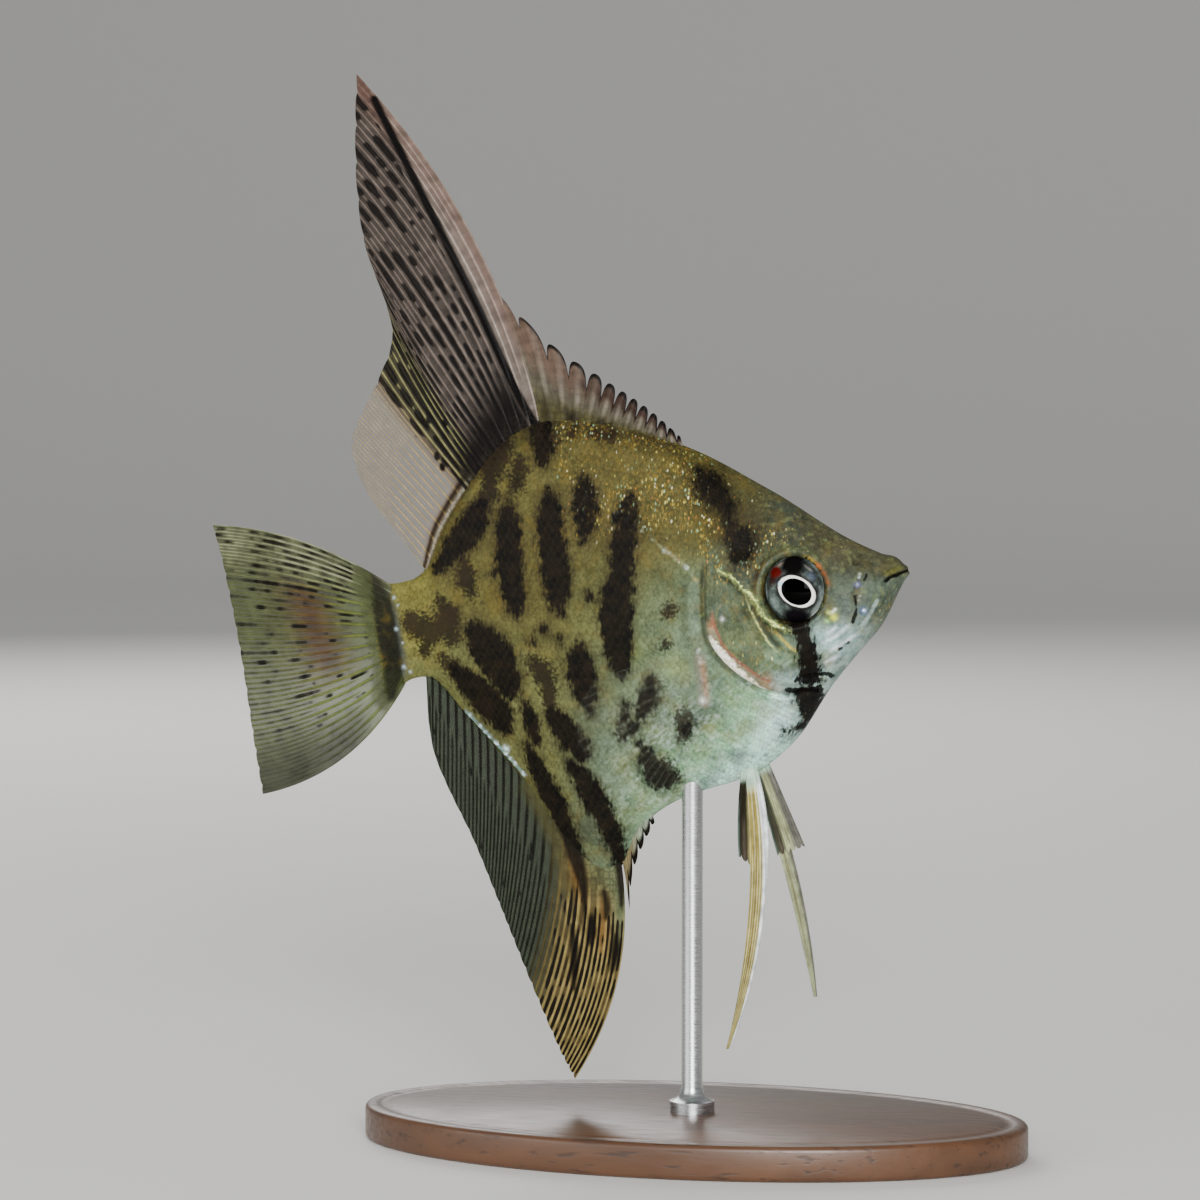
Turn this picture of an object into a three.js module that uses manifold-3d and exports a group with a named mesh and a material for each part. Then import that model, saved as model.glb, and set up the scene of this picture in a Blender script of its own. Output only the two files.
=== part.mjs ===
// Freshwater angelfish, adult, life size, as a still model on a display stand.
// Millimetres, +Z up. The fish faces +X with its right side to -Y. The origin is the
// middle of the underside of the stand's base.
import * as THREE from 'three';
import { mergeVertices } from 'three/addons/utils/BufferGeometryUtils.js';
import Module from 'manifold-3d';

const wasm = await Module();
wasm.setup();
const { clamp, degToRad, lerp } = THREE.MathUtils;

// ---------------------------------------------------------------- driving dimensions
// The fish is drawn in a frame of its own: x runs from the root of the tail fin (0) to the
// snout, z is the height above the body's long axis, and y is to the fish's left.
const SNOUT = 75.2;
const TAIL_ROOT = -1.0;
const NOSE_UP = degToRad(7.74);
const FISH_AT = { x: -43.6, z: 71.8 };

// Height of the back and of the belly's edge along the body: [x, z].
const BACK = [
  [-1.0, 8.4], [1.6, 7.9], [5.2, 9.1], [9.3, 15.8], [15.3, 22.9], [20.7, 27.2], [26.8, 28.6],
  [36.8, 25.8], [47.5, 20.9], [57.7, 13.7], [66.4, 6.6], [71.6, 3.3], [73.8, 2.4], [75.2, 0.7],
];
const BELLY = [
  [-1.0, -7.8], [1.8, -6.3], [4.7, -6.9], [8.5, -12.3], [15.8, -22.5], [20.8, -31.7],
  [25.0, -36.7], [28.7, -36.4], [32.0, -31.5], [38.4, -27.9], [49.7, -25.4], [56.4, -21.3],
  [62.2, -14.6], [66.9, -10.1], [70.7, -6.6], [74.1, -1.6], [75.2, -0.2],
];
// Level of the thickest part, half the thickness there, and how sharp the section's edges are.
const THICKEST_LEVEL = [
  [-1, 0.3], [10, 0.5], [25, -2.5], [40, -5], [52, -5], [61, -3], [68, -1.8], [75.2, 0.25],
];
const HALF_WIDTH = [
  [-1, 1.5], [4, 2.1], [12, 3.3], [22, 4.7], [34, 6.0], [46, 6.7], [54, 6.6], [60, 6.0],
  [66, 4.6], [70.5, 3.2], [73.5, 2.0], [75.2, 0.7],
];
const EDGE_SHARPNESS = [[-1, 1.4], [45, 1.55], [62, 1.25], [75.2, 1.0]];
// The tail swings to the fish's left, more towards its tip.
const SWING_STARTS_AT = 8;
const SWING = 0.003;

// Hind edge of the gill opening from the nape down to the throat, and where the parts end.
const GILL_LINE = [
  [51.5, 24], [49.6, 12], [47.7, 3.4], [47.4, -3], [48.5, -8.2], [52.4, -12.2], [57.0, -14.3],
  [63.5, -15.2],
];
const GILL_COVER_FRONT = [[60.5, -12.6], [58.2, -8.0], [55.4, -4.0], [54.4, 0.5], [52.6, 4.6]];
const GILL_COVER_TOP = 4.6;
const GILL_COVER_NOSE = 60;
const GILL_COVER_PROUD = 0.35;
const GILL_COVER_DEPTH = 1.2;
const TAIL_STEM_END = 5.2;
const MOUTH_CORNER = 71.9;

const EYE = { x: 60.5, z: -0.3, radius: 4.6, depth: 2.9, proud: 0.8 };

// Half thicknesses of the fins, how deep their roots start, and where the paired fins stand.
const MEMBRANE = 0.26;
const RAY = 0.38;
const FIN_ROOT = 0.65;
const ROOT_DEPTH = 2;
const SPINE_ROOT_DEPTH = 1.2;
const DORSAL_SPINES = 13;
const ANAL_SPINES = 6;
const TAIL_RAYS = 16;
const FIN_LEAN = 0.0007;
const PELVIC = { level: -23.4, apart: 1.4, splay: 0.12, blade: 3.2, streamer: 2 };
const PECTORAL = { x: 46.0, top: -7.9, bottom: -14.4, side: 5.6, splay: 0.22 };

const BASE = { length: 96, width: 52, height: 5, bevel: 1 };
const ROD = { radius: 1.5, footRadius: 3.2, footHeight: 1.6, footTaper: 1 };

// Clearance between touching pieces, and the fineness of the body's surface.
const GAP = 0.3;
const STATIONS = 32;
const AROUND = 24;
// Beyond the fish on every side, for cutting outlines.
const FAR = 80;
const SIDES = { right: -1, left: 1 };

// ---------------------------------------------------------------- curves and solids
/** Smooth value of one column at x, through knots whose first column rises. */
function along(knots, x, column = 1) {
  const last = knots.length - 1;
  const at = clamp(x, knots[0][0], knots[last][0]);
  let i = 0;
  while (i < last - 1 && at > knots[i + 1][0]) i += 1;
  const slope = (k) => {
    const before = knots[Math.max(k - 1, 0)];
    const after = knots[Math.min(k + 1, last)];
    return (after[column] - before[column]) / (after[0] - before[0]);
  };
  const [a, b] = [knots[i], knots[i + 1]];
  const span = b[0] - a[0];
  const t = (at - a[0]) / span;
  const rise = 3 * t * t - 2 * t * t * t;
  const out = t * (1 - t) * (1 - t) * span * slope(i);
  const into = t * t * (t - 1) * span * slope(i + 1);
  return a[column] * (1 - rise) + b[column] * rise + out + into;
}

/** Point [x, z] on a path of knots [u, x, z]. */
function onPath(knots, u) {
  return [along(knots, u, 1), along(knots, u, 2)];
}

/** Point part of the way from a to b. */
function between(a, b, t) {
  return [lerp(a[0], b[0], t), lerp(a[1], b[1], t)];
}

/** How far the tail's swing moves the body at x. */
function tailSwing(x) {
  return SWING * Math.max(SWING_STARTS_AT - x, 0) ** 2;
}

/** Geometry of a closed body from its points and its faces of three or four corners. */
function closedGeometry(points, faces) {
  const geometry = new THREE.BufferGeometry();
  geometry.setAttribute('position', new THREE.Float32BufferAttribute(points.flat(), 3));
  geometry.setIndex(faces.flatMap(([a, b, c, d]) => (d === undefined ? [a, b, c] : [a, b, c, a, c, d])));
  return geometry;
}

/** Solid of a closed geometry, with its faces pointing out. */
function solid(geometry) {
  const bare = geometry.clone();
  bare.deleteAttribute('normal');
  bare.deleteAttribute('uv');
  const merged = mergeVertices(bare, 1e-4);
  const vertProperties = new Float32Array(merged.attributes.position.array);
  const triVerts = new Uint32Array(merged.index.array);
  const corner = (i) => new THREE.Vector3().fromArray(vertProperties, 3 * triVerts[i]);
  let volume = 0;
  for (let i = 0; i < triVerts.length; i += 3) {
    volume += corner(i).dot(corner(i + 1).cross(corner(i + 2)));
  }
  if (volume < 0) triVerts.reverse();
  return new wasm.Manifold(new wasm.Mesh({ numProp: 3, vertProperties, triVerts }));
}

/** Named mesh of a solid, with its own finish. */
function mesh(name, body, color, roughness = 0.5, metalness = 0) {
  const cut = body.getMesh();
  const geometry = new THREE.BufferGeometry();
  geometry.setAttribute('position', new THREE.BufferAttribute(cut.vertProperties, 3));
  geometry.setIndex(new THREE.BufferAttribute(cut.triVerts, 1));
  const shape = new THREE.Mesh(geometry, new THREE.MeshStandardMaterial({ color, roughness, metalness }));
  shape.name = name;
  return shape;
}

/** Block over an outline of [x, z] points, between two values of y. */
function block(outline, yLow = -FAR, yHigh = FAR) {
  const shape = new THREE.Shape(outline.map(([x, z]) => new THREE.Vector2(x, z)));
  const geometry = new THREE.ExtrudeGeometry(shape, { depth: yHigh - yLow, bevelEnabled: false });
  geometry.rotateX(Math.PI / 2);
  geometry.translate(0, yHigh, 0);
  return solid(geometry);
}

/** Block over the stretch of the body between two values of x. */
function stretch(from, to) {
  return block([[from, -FAR], [to, -FAR], [to, FAR], [from, FAR]]);
}

/** Points of a smooth line through [x, z] points. */
function smooth(points, count) {
  const curve = new THREE.CatmullRomCurve3(points.map(([x, z]) => new THREE.Vector3(x, 0, z)));
  return curve.getPoints(count).map((p) => [p.x, p.z]);
}

/** A line of [x, z] points moved to the left of its run by a distance. */
function offset(points, distance) {
  return points.map(([x, z], i) => {
    const before = points[Math.max(i - 1, 0)];
    const after = points[Math.min(i + 1, points.length - 1)];
    const [dx, dz] = [after[0] - before[0], after[1] - before[1]];
    const length = Math.hypot(dx, dz);
    return [x - (dz / length) * distance, z + (dx / length) * distance];
  });
}

/** A closed outline of [x, z] points, drawn anticlockwise, moved out by a distance. */
function grown(outline, distance) {
  const closed = [outline[outline.length - 1], ...outline, outline[0]];
  return offset(closed, -distance).slice(1, -1);
}

// ---------------------------------------------------------------- the body
/** The whole body without its fins as one solid, its surface moved out by grow. */
function bodySolid(grow = 0) {
  const THINNEST = 0.2;
  const points = [];
  const faces = [];
  for (let i = 0; i <= STATIONS; i += 1) {
    const x = TAIL_ROOT + (SNOUT - TAIL_ROOT) * Math.sin((i / STATIONS) * (Math.PI / 2));
    const ends = { 0: -grow, [STATIONS]: grow };
    const level = along(THICKEST_LEVEL, x);
    const above = Math.max(along(BACK, x) - level + grow, THINNEST);
    const below = Math.max(level - along(BELLY, x) + grow, THINNEST);
    const half = Math.max(along(HALF_WIDTH, x) + grow, THINNEST);
    for (let k = 0; k < AROUND; k += 1) {
      const angle = (k / AROUND) * 2 * Math.PI;
      const across = Math.cos(angle);
      const up = Math.sin(angle);
      const y = Math.sign(across) * half * Math.abs(across) ** along(EDGE_SHARPNESS, x);
      points.push([x + (ends[i] ?? 0), y + tailSwing(x), level + up * (up > 0 ? above : below)]);
    }
  }
  for (let i = 0; i < STATIONS; i += 1) {
    for (let k = 0; k < AROUND; k += 1) {
      const next = (k + 1) % AROUND;
      const a = i * AROUND;
      const b = a + AROUND;
      faces.push([a + k, b + k, b + next, a + next]);
    }
  }
  const tailEnd = points.length;
  const noseEnd = tailEnd + 1;
  points.push([TAIL_ROOT - grow, tailSwing(TAIL_ROOT), along(THICKEST_LEVEL, TAIL_ROOT)]);
  points.push([SNOUT + grow, 0, along(THICKEST_LEVEL, SNOUT)]);
  for (let k = 0; k < AROUND; k += 1) {
    const next = (k + 1) % AROUND;
    const nose = STATIONS * AROUND;
    faces.push([tailEnd, k, next]);
    faces.push([noseEnd, nose + next, nose + k]);
  }
  return solid(closedGeometry(points, faces));
}

const body = bodySolid();
const bodyAndGap = bodySolid(GAP);

// Everything in front of the gill opening belongs to the head.
const gillLine = smooth(GILL_LINE, 18);
const beyondSnout = [[FAR, -FAR], [FAR, FAR]];
const inFrontOfGills = block([...offset(gillLine, GAP / 2), ...beyondSnout]);
const inFrontAndGap = block([...offset(gillLine, -GAP / 2), ...beyondSnout]);

// Jaws: the mouth runs back and down from the tip of the snout.
const upperJawOutline = [[77, 0.55], [77, 5], [71.0, 5], [70.8, 1.2], [MOUTH_CORNER, -0.3]];
const lowerJawOutline = [
  [77, 0.25], [MOUTH_CORNER, -0.65], [69.6, -2.4], [66.4, -8.2], [65.6, -14], [77, -14],
];

// Gill covers: thin plates over a recess in each side of the head.
const coverRim = offset(gillLine, GAP / 2).filter(([x, z]) => z < GILL_COVER_TOP && x < GILL_COVER_NOSE);
const coverOutline = [...coverRim, ...smooth(GILL_COVER_FRONT, 6)];
const coverOutside = bodySolid(GILL_COVER_PROUD);
const coverInside = bodySolid(-GILL_COVER_DEPTH);
const recessInside = bodySolid(-GILL_COVER_DEPTH - GAP);

/** Block over an outline on one side of the fish only. */
function sideBlock(outline, side) {
  return side < 0 ? block(outline, -FAR, -1) : block(outline, 1, FAR);
}

function gillCover(side) {
  return coverOutside.intersect(sideBlock(coverOutline, side)).subtract(coverInside);
}

function gillRecess(side) {
  return sideBlock(grown(coverOutline, 1.5 * GAP), side).subtract(recessInside);
}

/** Eye, a flattened globe whose clear front stands just proud of the head. */
function eye(side, grow = 0) {
  const geometry = new THREE.SphereGeometry(1, 16, 8);
  geometry.scale(EYE.radius + grow, EYE.depth + grow, EYE.radius + grow);
  geometry.translate(EYE.x, side * (along(HALF_WIDTH, EYE.x) + EYE.proud - EYE.depth), EYE.z);
  return solid(geometry);
}

function headSolid() {
  let head = body.intersect(inFrontOfGills);
  for (const outline of [upperJawOutline, lowerJawOutline]) {
    head = head.subtract(block(grown(outline, 1.5 * GAP)));
  }
  for (const side of Object.values(SIDES)) {
    head = head.subtract(gillRecess(side)).subtract(eye(side, GAP));
  }
  return head;
}

const behindHead = body.subtract(inFrontAndGap);
const trunk = behindHead.intersect(stretch(TAIL_STEM_END + GAP / 2, FAR));
const tailStem = behindHead.intersect(stretch(-FAR, TAIL_STEM_END - GAP / 2));

// ---------------------------------------------------------------- fins
/**
 * Closed plate for a fan of fin rays. Each ray runs from its base to its tip on a bowed
 * line, and the thinner membrane between two rays stops short of their tips.
 */
function finPlate({ rays, rows, baseAt, tipAt, bowAt, notchAt, middleAt }) {
  const THICK_ROOT = 0.25;
  const columns = 2 * rays - 1;
  const points = [];
  const faces = [];
  for (let c = 0; c < columns; c += 1) {
    const u = c / (columns - 1);
    const isRay = c % 2 === 0;
    const [baseX, baseZ] = baseAt(u);
    const [tipX, tipZ] = tipAt(u);
    const bendX = (baseX + tipX) / 2 + bowAt(u) * (tipZ - baseZ);
    const bendZ = (baseZ + tipZ) / 2 - bowAt(u) * (tipX - baseX);
    const reach = isRay ? 1 : 1 - notchAt(u);
    for (let r = 0; r <= rows; r += 1) {
      const v = (r / rows) * reach;
      const [first, middle, last] = [(1 - v) ** 2, 2 * v * (1 - v), v ** 2];
      const x = first * baseX + middle * bendX + last * tipX;
      const z = first * baseZ + middle * bendZ + last * tipZ;
      const half = lerp(FIN_ROOT, isRay ? RAY : MEMBRANE, Math.min(v / THICK_ROOT, 1));
      const y = middleAt(x, z);
      points.push([x, y + half, z], [x, y - half, z]);
    }
  }
  const at = (c, r, face) => 2 * (c * (rows + 1) + r) + face;
  const end = columns - 1;
  for (let c = 0; c < end; c += 1) {
    for (let r = 0; r < rows; r += 1) {
      faces.push([at(c, r, 0), at(c, r + 1, 0), at(c + 1, r + 1, 0), at(c + 1, r, 0)]);
      faces.push([at(c, r, 1), at(c + 1, r, 1), at(c + 1, r + 1, 1), at(c, r + 1, 1)]);
    }
    faces.push([at(c, 0, 0), at(c + 1, 0, 0), at(c + 1, 0, 1), at(c, 0, 1)]);
    faces.push([at(c, rows, 0), at(c, rows, 1), at(c + 1, rows, 1), at(c + 1, rows, 0)]);
  }
  for (let r = 0; r < rows; r += 1) {
    faces.push([at(0, r, 0), at(0, r, 1), at(0, r + 1, 1), at(0, r + 1, 0)]);
    faces.push([at(end, r, 0), at(end, r + 1, 0), at(end, r + 1, 1), at(end, r, 1)]);
  }
  return solid(closedGeometry(points, faces));
}

/** Fin plate cut clear of the body. */
function fin(plan) {
  return finPlate(plan).subtract(bodyAndGap);
}

/** Root points under the back or the belly's edge, from one x to another. */
function rootUnder(edge, from, to, depth, ease = 1) {
  return (u) => {
    const x = lerp(from, to, u ** ease);
    return [x, along(edge, x) - depth];
  };
}

// The tall fins lean a little to the fish's left towards their tips.
const dorsalLean = (x, z) => FIN_LEAN * Math.max(z - 28, 0) ** 2;
const analLean = (x, z) => FIN_LEAN * Math.max(-30 - z, 0) ** 2;

// Dorsal fin: a comb of spines with free tips, then the tall soft part.
const dorsalSpinyTips = [
  [0, 45.3, 23.1], [0.33, 40.9, 27.9], [0.64, 35.1, 32.8], [0.84, 28.6, 38.3], [1, 22.8, 46.2],
];
const dorsalSpiny = fin({
  rays: DORSAL_SPINES,
  rows: 3,
  baseAt: rootUnder(BACK, 45.6, 26.4, SPINE_ROOT_DEPTH),
  tipAt: (u) => onPath(dorsalSpinyTips, u),
  bowAt: (u) => 0.05 * u,
  notchAt: (u) => along([[0, 0.2], [0.4, 0.27], [1, 0.16]], u),
  middleAt: dorsalLean,
});

const dorsalSoftTips = [
  [0, 4.3, 81], [0.1, 3.2, 73.5], [0.2, 2.4, 65], [0.3, 2.6, 56.5], [0.42, 4.8, 47],
  [0.5, 4.9, 42.3], [0.58, 2.2, 37.2], [0.7, -0.6, 33.3], [0.85, -3.1, 28.5], [0.94, -2.6, 23.5],
  [1, -1.2, 19.8],
];
const dorsalSoft = fin({
  rays: 17,
  rows: 6,
  baseAt: rootUnder(BACK, 25.4, 6.0, ROOT_DEPTH, 0.92),
  tipAt: (u) => onPath(dorsalSoftTips, u),
  bowAt: (u) => along([[0, 0.145], [0.2, 0.08], [0.4, -0.05], [0.7, 0], [1, 0.02]], u),
  notchAt: (u) => 0.02 + 0.03 * u,
  middleAt: dorsalLean,
});

// Anal fin: short spines on the front edge, then a soft part like the dorsal's.
const analSpinyTips = [[0, 34.3, -30.6], [0.4, 32.0, -33.9], [0.75, 30.0, -37.8], [1, 28.9, -42.5]];
const analSpiny = fin({
  rays: ANAL_SPINES,
  rows: 3,
  baseAt: (u) => {
    const x = lerp(34.8, 29.6, u);
    return [x - ROOT_DEPTH / 2, along(BELLY, x) + ROOT_DEPTH];
  },
  tipAt: (u) => onPath(analSpinyTips, u),
  bowAt: (u) => -0.05 * u,
  notchAt: () => 0.2,
  middleAt: analLean,
});

const analSoftTips = [
  [0, 17.4, -66], [0.15, 15.6, -61], [0.3, 13.2, -52.5], [0.45, 11.1, -44.5], [0.6, 9.4, -38],
  [0.75, 7.4, -30], [0.9, 4.4, -21.5], [1, 2.0, -14.5],
];
const analSoft = fin({
  rays: 19,
  rows: 5,
  baseAt: rootUnder(BELLY, 28.6, 3.6, -ROOT_DEPTH, 0.95),
  tipAt: (u) => onPath(analSoftTips, u),
  bowAt: (u) => along([[0, -0.2], [0.25, -0.1], [0.6, -0.03], [1, 0]], u),
  notchAt: () => 0.03,
  middleAt: analLean,
});

// Tail fin: a fan of rays from the end of the tail stem.
const tailFinTips = [
  [0, -27.2, 19.6], [0.2, -26.3, 13.5], [0.5, -25.4, 1.2], [0.8, -25.1, -12.5], [1, -24.8, -20.4],
];
const tailFin = fin({
  rays: TAIL_RAYS,
  rows: 4,
  baseAt: (u) => between([TAIL_ROOT + 1, 7.4], [TAIL_ROOT + 1, -6.9], u),
  tipAt: (u) => onPath(tailFinTips, u),
  bowAt: (u) => lerp(0.14, -0.22, u),
  notchAt: () => 0.015,
  middleAt: tailSwing,
});

/** Pelvic fin: a short blade of five rays and the long streamer that grows out of it. */
function pelvicFin(side, { root, spineTip, bladeTip, streamerTip, bow }) {
  const middleAt = (x, z) => side * (PELVIC.apart + PELVIC.splay * Math.max(PELVIC.level - z, 0));
  const blade = finPlate({
    rays: 5,
    rows: 3,
    baseAt: (u) => [root - PELVIC.blade * u, PELVIC.level],
    tipAt: (u) => between(spineTip, bladeTip, u),
    bowAt: () => 0,
    notchAt: () => 0.12,
    middleAt,
  });
  const streamer = finPlate({
    rays: 2,
    rows: 7,
    baseAt: (u) => [root - 0.5 - PELVIC.streamer * u, PELVIC.level],
    tipAt: (u) => [streamerTip[0] + 0.4 - 0.8 * u, streamerTip[1]],
    bowAt: () => bow,
    notchAt: () => 0,
    middleAt,
  });
  return blade.add(streamer).subtract(bodyAndGap);
}
const pelvicPlans = {
  right: {
    root: 50.8, spineTip: [50.7, -39.8], bladeTip: [46.0, -36.6], streamerTip: [42.8, -62.6], bow: -0.11,
  },
  left: {
    root: 51.6, spineTip: [55.1, -36.0], bladeTip: [51.8, -35.6], streamerTip: [52.4, -58.5], bow: -0.045,
  },
};

/** Pectoral fin: a clear fan folded back and down over the flank. */
function pectoralFin(side) {
  const middle = (PECTORAL.top + PECTORAL.bottom) / 2;
  return fin({
    rays: 9,
    rows: 3,
    baseAt: (u) => between([PECTORAL.x + 0.6, PECTORAL.top], [PECTORAL.x, PECTORAL.bottom], u),
    tipAt: (u) => {
      const angle = degToRad(lerp(4, 66, u));
      const reach = along([[0, 15], [0.2, 19.5], [0.5, 20], [0.8, 16.5], [1, 12.5]], u);
      const level = lerp(PECTORAL.top, PECTORAL.bottom, u);
      return [PECTORAL.x - reach * Math.cos(angle), level - reach * Math.sin(angle)];
    },
    bowAt: (u) => lerp(0.06, -0.03, u),
    notchAt: () => 0.02,
    middleAt: (x, z) => {
      const pastRoot = Math.max(Math.abs(z - middle) - (PECTORAL.top - middle), 0);
      return side * (PECTORAL.side + PECTORAL.splay * Math.hypot(x - PECTORAL.x, pastRoot));
    },
  });
}

// ---------------------------------------------------------------- the fish in its place
const fish = new THREE.Group();
fish.position.set(FISH_AT.x, 0, FISH_AT.z);
fish.rotation.y = -NOSE_UP;
fish.add(
  mesh('head', headSolid(), 0x6a6d4e),
  mesh('upper_jaw', body.intersect(block(upperJawOutline)), 0x595e48),
  mesh('lower_jaw', body.intersect(block(lowerJawOutline)), 0x737f75),
  mesh('trunk', trunk, 0x6c6a3e),
  mesh('tail_stem', tailStem, 0x787039),
  mesh('dorsal_fin_spiny', dorsalSpiny, 0x9f816d),
  mesh('dorsal_fin_soft', dorsalSoft, 0x6a5a4a),
  mesh('anal_fin_spiny', analSpiny, 0x8f8253),
  mesh('anal_fin_soft', analSoft, 0x636544),
  mesh('tail_fin', tailFin, 0x737754),
);
for (const [name, side] of Object.entries(SIDES)) {
  fish.add(
    mesh(`gill_cover_${name}`, gillCover(side), 0x8b9276, 0.35),
    mesh(`eye_${name}`, eye(side), 0x3a403c, 0.1),
    mesh(`pectoral_fin_${name}`, pectoralFin(side), 0xb9bfae),
    mesh(`pelvic_fin_${name}`, pelvicFin(side, pelvicPlans[name]), 0xc6c8a4),
  );
}
fish.updateMatrixWorld(true);

// ---------------------------------------------------------------- the stand
// An oval plate with a bevelled rim.
const baseOutline = new THREE.Shape();
baseOutline.absellipse(0, 0, BASE.length / 2 - BASE.bevel, BASE.width / 2 - BASE.bevel, 0, 2 * Math.PI);
const basePlate = new THREE.ExtrudeGeometry(baseOutline, {
  depth: BASE.height - 2 * BASE.bevel,
  bevelThickness: BASE.bevel,
  bevelSize: BASE.bevel,
  bevelSegments: 1,
  curveSegments: 24,
});
basePlate.translate(0, 0, BASE.bevel);

// A slim rod on a small foot, up to the belly between the pelvic and the anal fins.
const footBottom = BASE.height + GAP;
const footTop = footBottom + ROD.footHeight;
const rodProfile = [
  [0, footBottom], [ROD.footRadius, footBottom], [ROD.footRadius, footTop],
  [ROD.radius, footTop + ROD.footTaper], [ROD.radius, FISH_AT.z], [0, FISH_AT.z],
].map(([radius, z]) => new THREE.Vector2(radius, z));
const rodTurning = new THREE.LatheGeometry(rodProfile, 16);
rodTurning.rotateX(Math.PI / 2);
const rod = solid(rodTurning).subtract(bodyAndGap.transform(fish.matrixWorld.elements));

const model = new THREE.Group();
model.add(
  fish,
  mesh('stand_base', solid(basePlate), 0x3b2a1e, 0.35),
  mesh('stand_rod', rod, 0xb8bbbe, 0.3, 1),
);

export default model;
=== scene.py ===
import math

import bpy
import numpy as np
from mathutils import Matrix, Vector


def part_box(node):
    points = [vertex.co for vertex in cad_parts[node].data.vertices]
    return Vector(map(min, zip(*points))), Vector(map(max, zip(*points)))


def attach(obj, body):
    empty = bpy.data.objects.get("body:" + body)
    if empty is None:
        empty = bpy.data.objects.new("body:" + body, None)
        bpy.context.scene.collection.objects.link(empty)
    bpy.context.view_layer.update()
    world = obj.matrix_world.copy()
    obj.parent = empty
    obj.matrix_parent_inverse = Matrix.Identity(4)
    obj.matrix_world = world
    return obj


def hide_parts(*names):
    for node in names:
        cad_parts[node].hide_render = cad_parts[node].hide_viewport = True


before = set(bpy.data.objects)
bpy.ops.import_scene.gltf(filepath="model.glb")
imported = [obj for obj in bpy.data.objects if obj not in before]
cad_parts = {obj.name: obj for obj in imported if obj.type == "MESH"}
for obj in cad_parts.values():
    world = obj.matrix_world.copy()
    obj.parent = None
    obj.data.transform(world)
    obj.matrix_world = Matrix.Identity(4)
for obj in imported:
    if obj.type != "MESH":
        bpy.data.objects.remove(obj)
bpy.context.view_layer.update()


# ---------------------------------------------------------------- the studio
# A broad sheet of pale card lies under the model and sweeps up behind it. Three soft boxes
# and an even sky light it. The camera stands ahead of the fish's right side, a little
# above its middle.
def deselect():
    """Nothing selected, so that the next operator acts only on what is picked."""
    if bpy.context.object and bpy.context.object.mode != "OBJECT":
        bpy.ops.object.mode_set(mode="OBJECT")
    bpy.ops.object.select_all(action="DESELECT")


def pick(piece):
    """Only this piece selected, and active."""
    deselect()
    piece.select_set(True)
    bpy.context.view_layer.objects.active = piece


def added(name):
    """The primitive just made, under its own name."""
    piece = bpy.context.object
    piece.name = name
    piece.data.name = name
    return piece


def linear(code):
    """Linear colour of an sRGB hex code."""
    parts = [int(code[i:i + 2], 16) / 255 for i in (0, 2, 4)]
    return [p / 12.92 if p <= 0.04045 else ((p + 0.055) / 1.055) ** 2.4 for p in parts]


def node(tree, kind, joins={}, **settings):
    """A node with its settings. A socket takes another node, one of its outputs, a value or a colour's code."""
    made = tree.nodes.new("ShaderNode" + kind)
    for name, value in settings.items():
        setattr(made, name, value)
    for socket, value in joins.items():
        if isinstance(value, bpy.types.Node):
            value = next(output for output in value.outputs if output.enabled)
        if isinstance(value, bpy.types.NodeSocket):
            tree.links.new(value, made.inputs[socket])
        else:
            made.inputs[socket].default_value = [*linear(value), 1] if isinstance(value, str) else value
    return made


def finish_of(name):
    """An empty node material, and the tree to build in."""
    material = bpy.data.materials.new(name)
    material.use_nodes = True
    material.node_tree.nodes.clear()
    return material, material.node_tree


def wear(piece, material):
    """Gives the piece this one material."""
    piece.data.materials.clear()
    piece.data.materials.append(material)


deselect()
bpy.ops.mesh.primitive_plane_add(size=1, location=(0, 0, 0))
card = added("card_sweep")
card.scale = (5, 5, 1)
card.location = (0, 0.5, 0)
bpy.ops.object.transform_apply(location=True, rotation=False, scale=True)
bpy.ops.object.mode_set(mode="EDIT")
bpy.ops.mesh.select_mode(type="EDGE")
bpy.ops.mesh.select_all(action="DESELECT")
bpy.ops.object.mode_set(mode="OBJECT")
for edge in card.data.edges:
    edge.select = all(card.data.vertices[v].co.y > 2.9 for v in edge.vertices)
bpy.ops.object.mode_set(mode="EDIT")
bpy.ops.mesh.extrude_region_move(TRANSFORM_OT_translate={"value": (0, 0, 3)})
bpy.ops.object.mode_set(mode="OBJECT")
cove = card.modifiers.new("cove", "BEVEL")
cove.width = 1.5
cove.segments = 32
bpy.ops.object.modifier_apply(modifier="cove")
bpy.ops.object.shade_smooth()

# Uncoated card: matt, with a faint tooth.
card_finish, tree = finish_of("matt_card")
place = node(tree, "TexCoord").outputs["Object"]
tooth = node(tree, "TexNoise", {"Vector": place, "Scale": 900.0, "Detail": 2.0})
relief = node(tree, "Bump", {"Height": tooth, "Strength": 0.05, "Distance": 0.0002})
surface = node(tree, "BsdfPrincipled", {
    "Base Color": "eceae5", "Roughness": 0.9, "Normal": relief,
    "Specular IOR Level": 0.2,
})
node(tree, "OutputMaterial", {"Surface": surface})
wear(card, card_finish)

middle_of_view = Vector((-0.01352, 0.0, 0.07754))
from_ahead = math.radians(15)
from_above = math.radians(3)
backwards = Vector((
    math.sin(from_ahead) * math.cos(from_above),
    -math.cos(from_ahead) * math.cos(from_above),
    math.sin(from_above),
))
bpy.ops.object.camera_add(
    location=middle_of_view + 0.6 * backwards,
    rotation=backwards.to_track_quat("Z", "Y").to_euler(),
)
camera = bpy.context.object
camera.data.sensor_width = 36
camera.data.lens = 126.8
camera.data.dof.use_dof = False
bpy.context.scene.camera = camera

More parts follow.
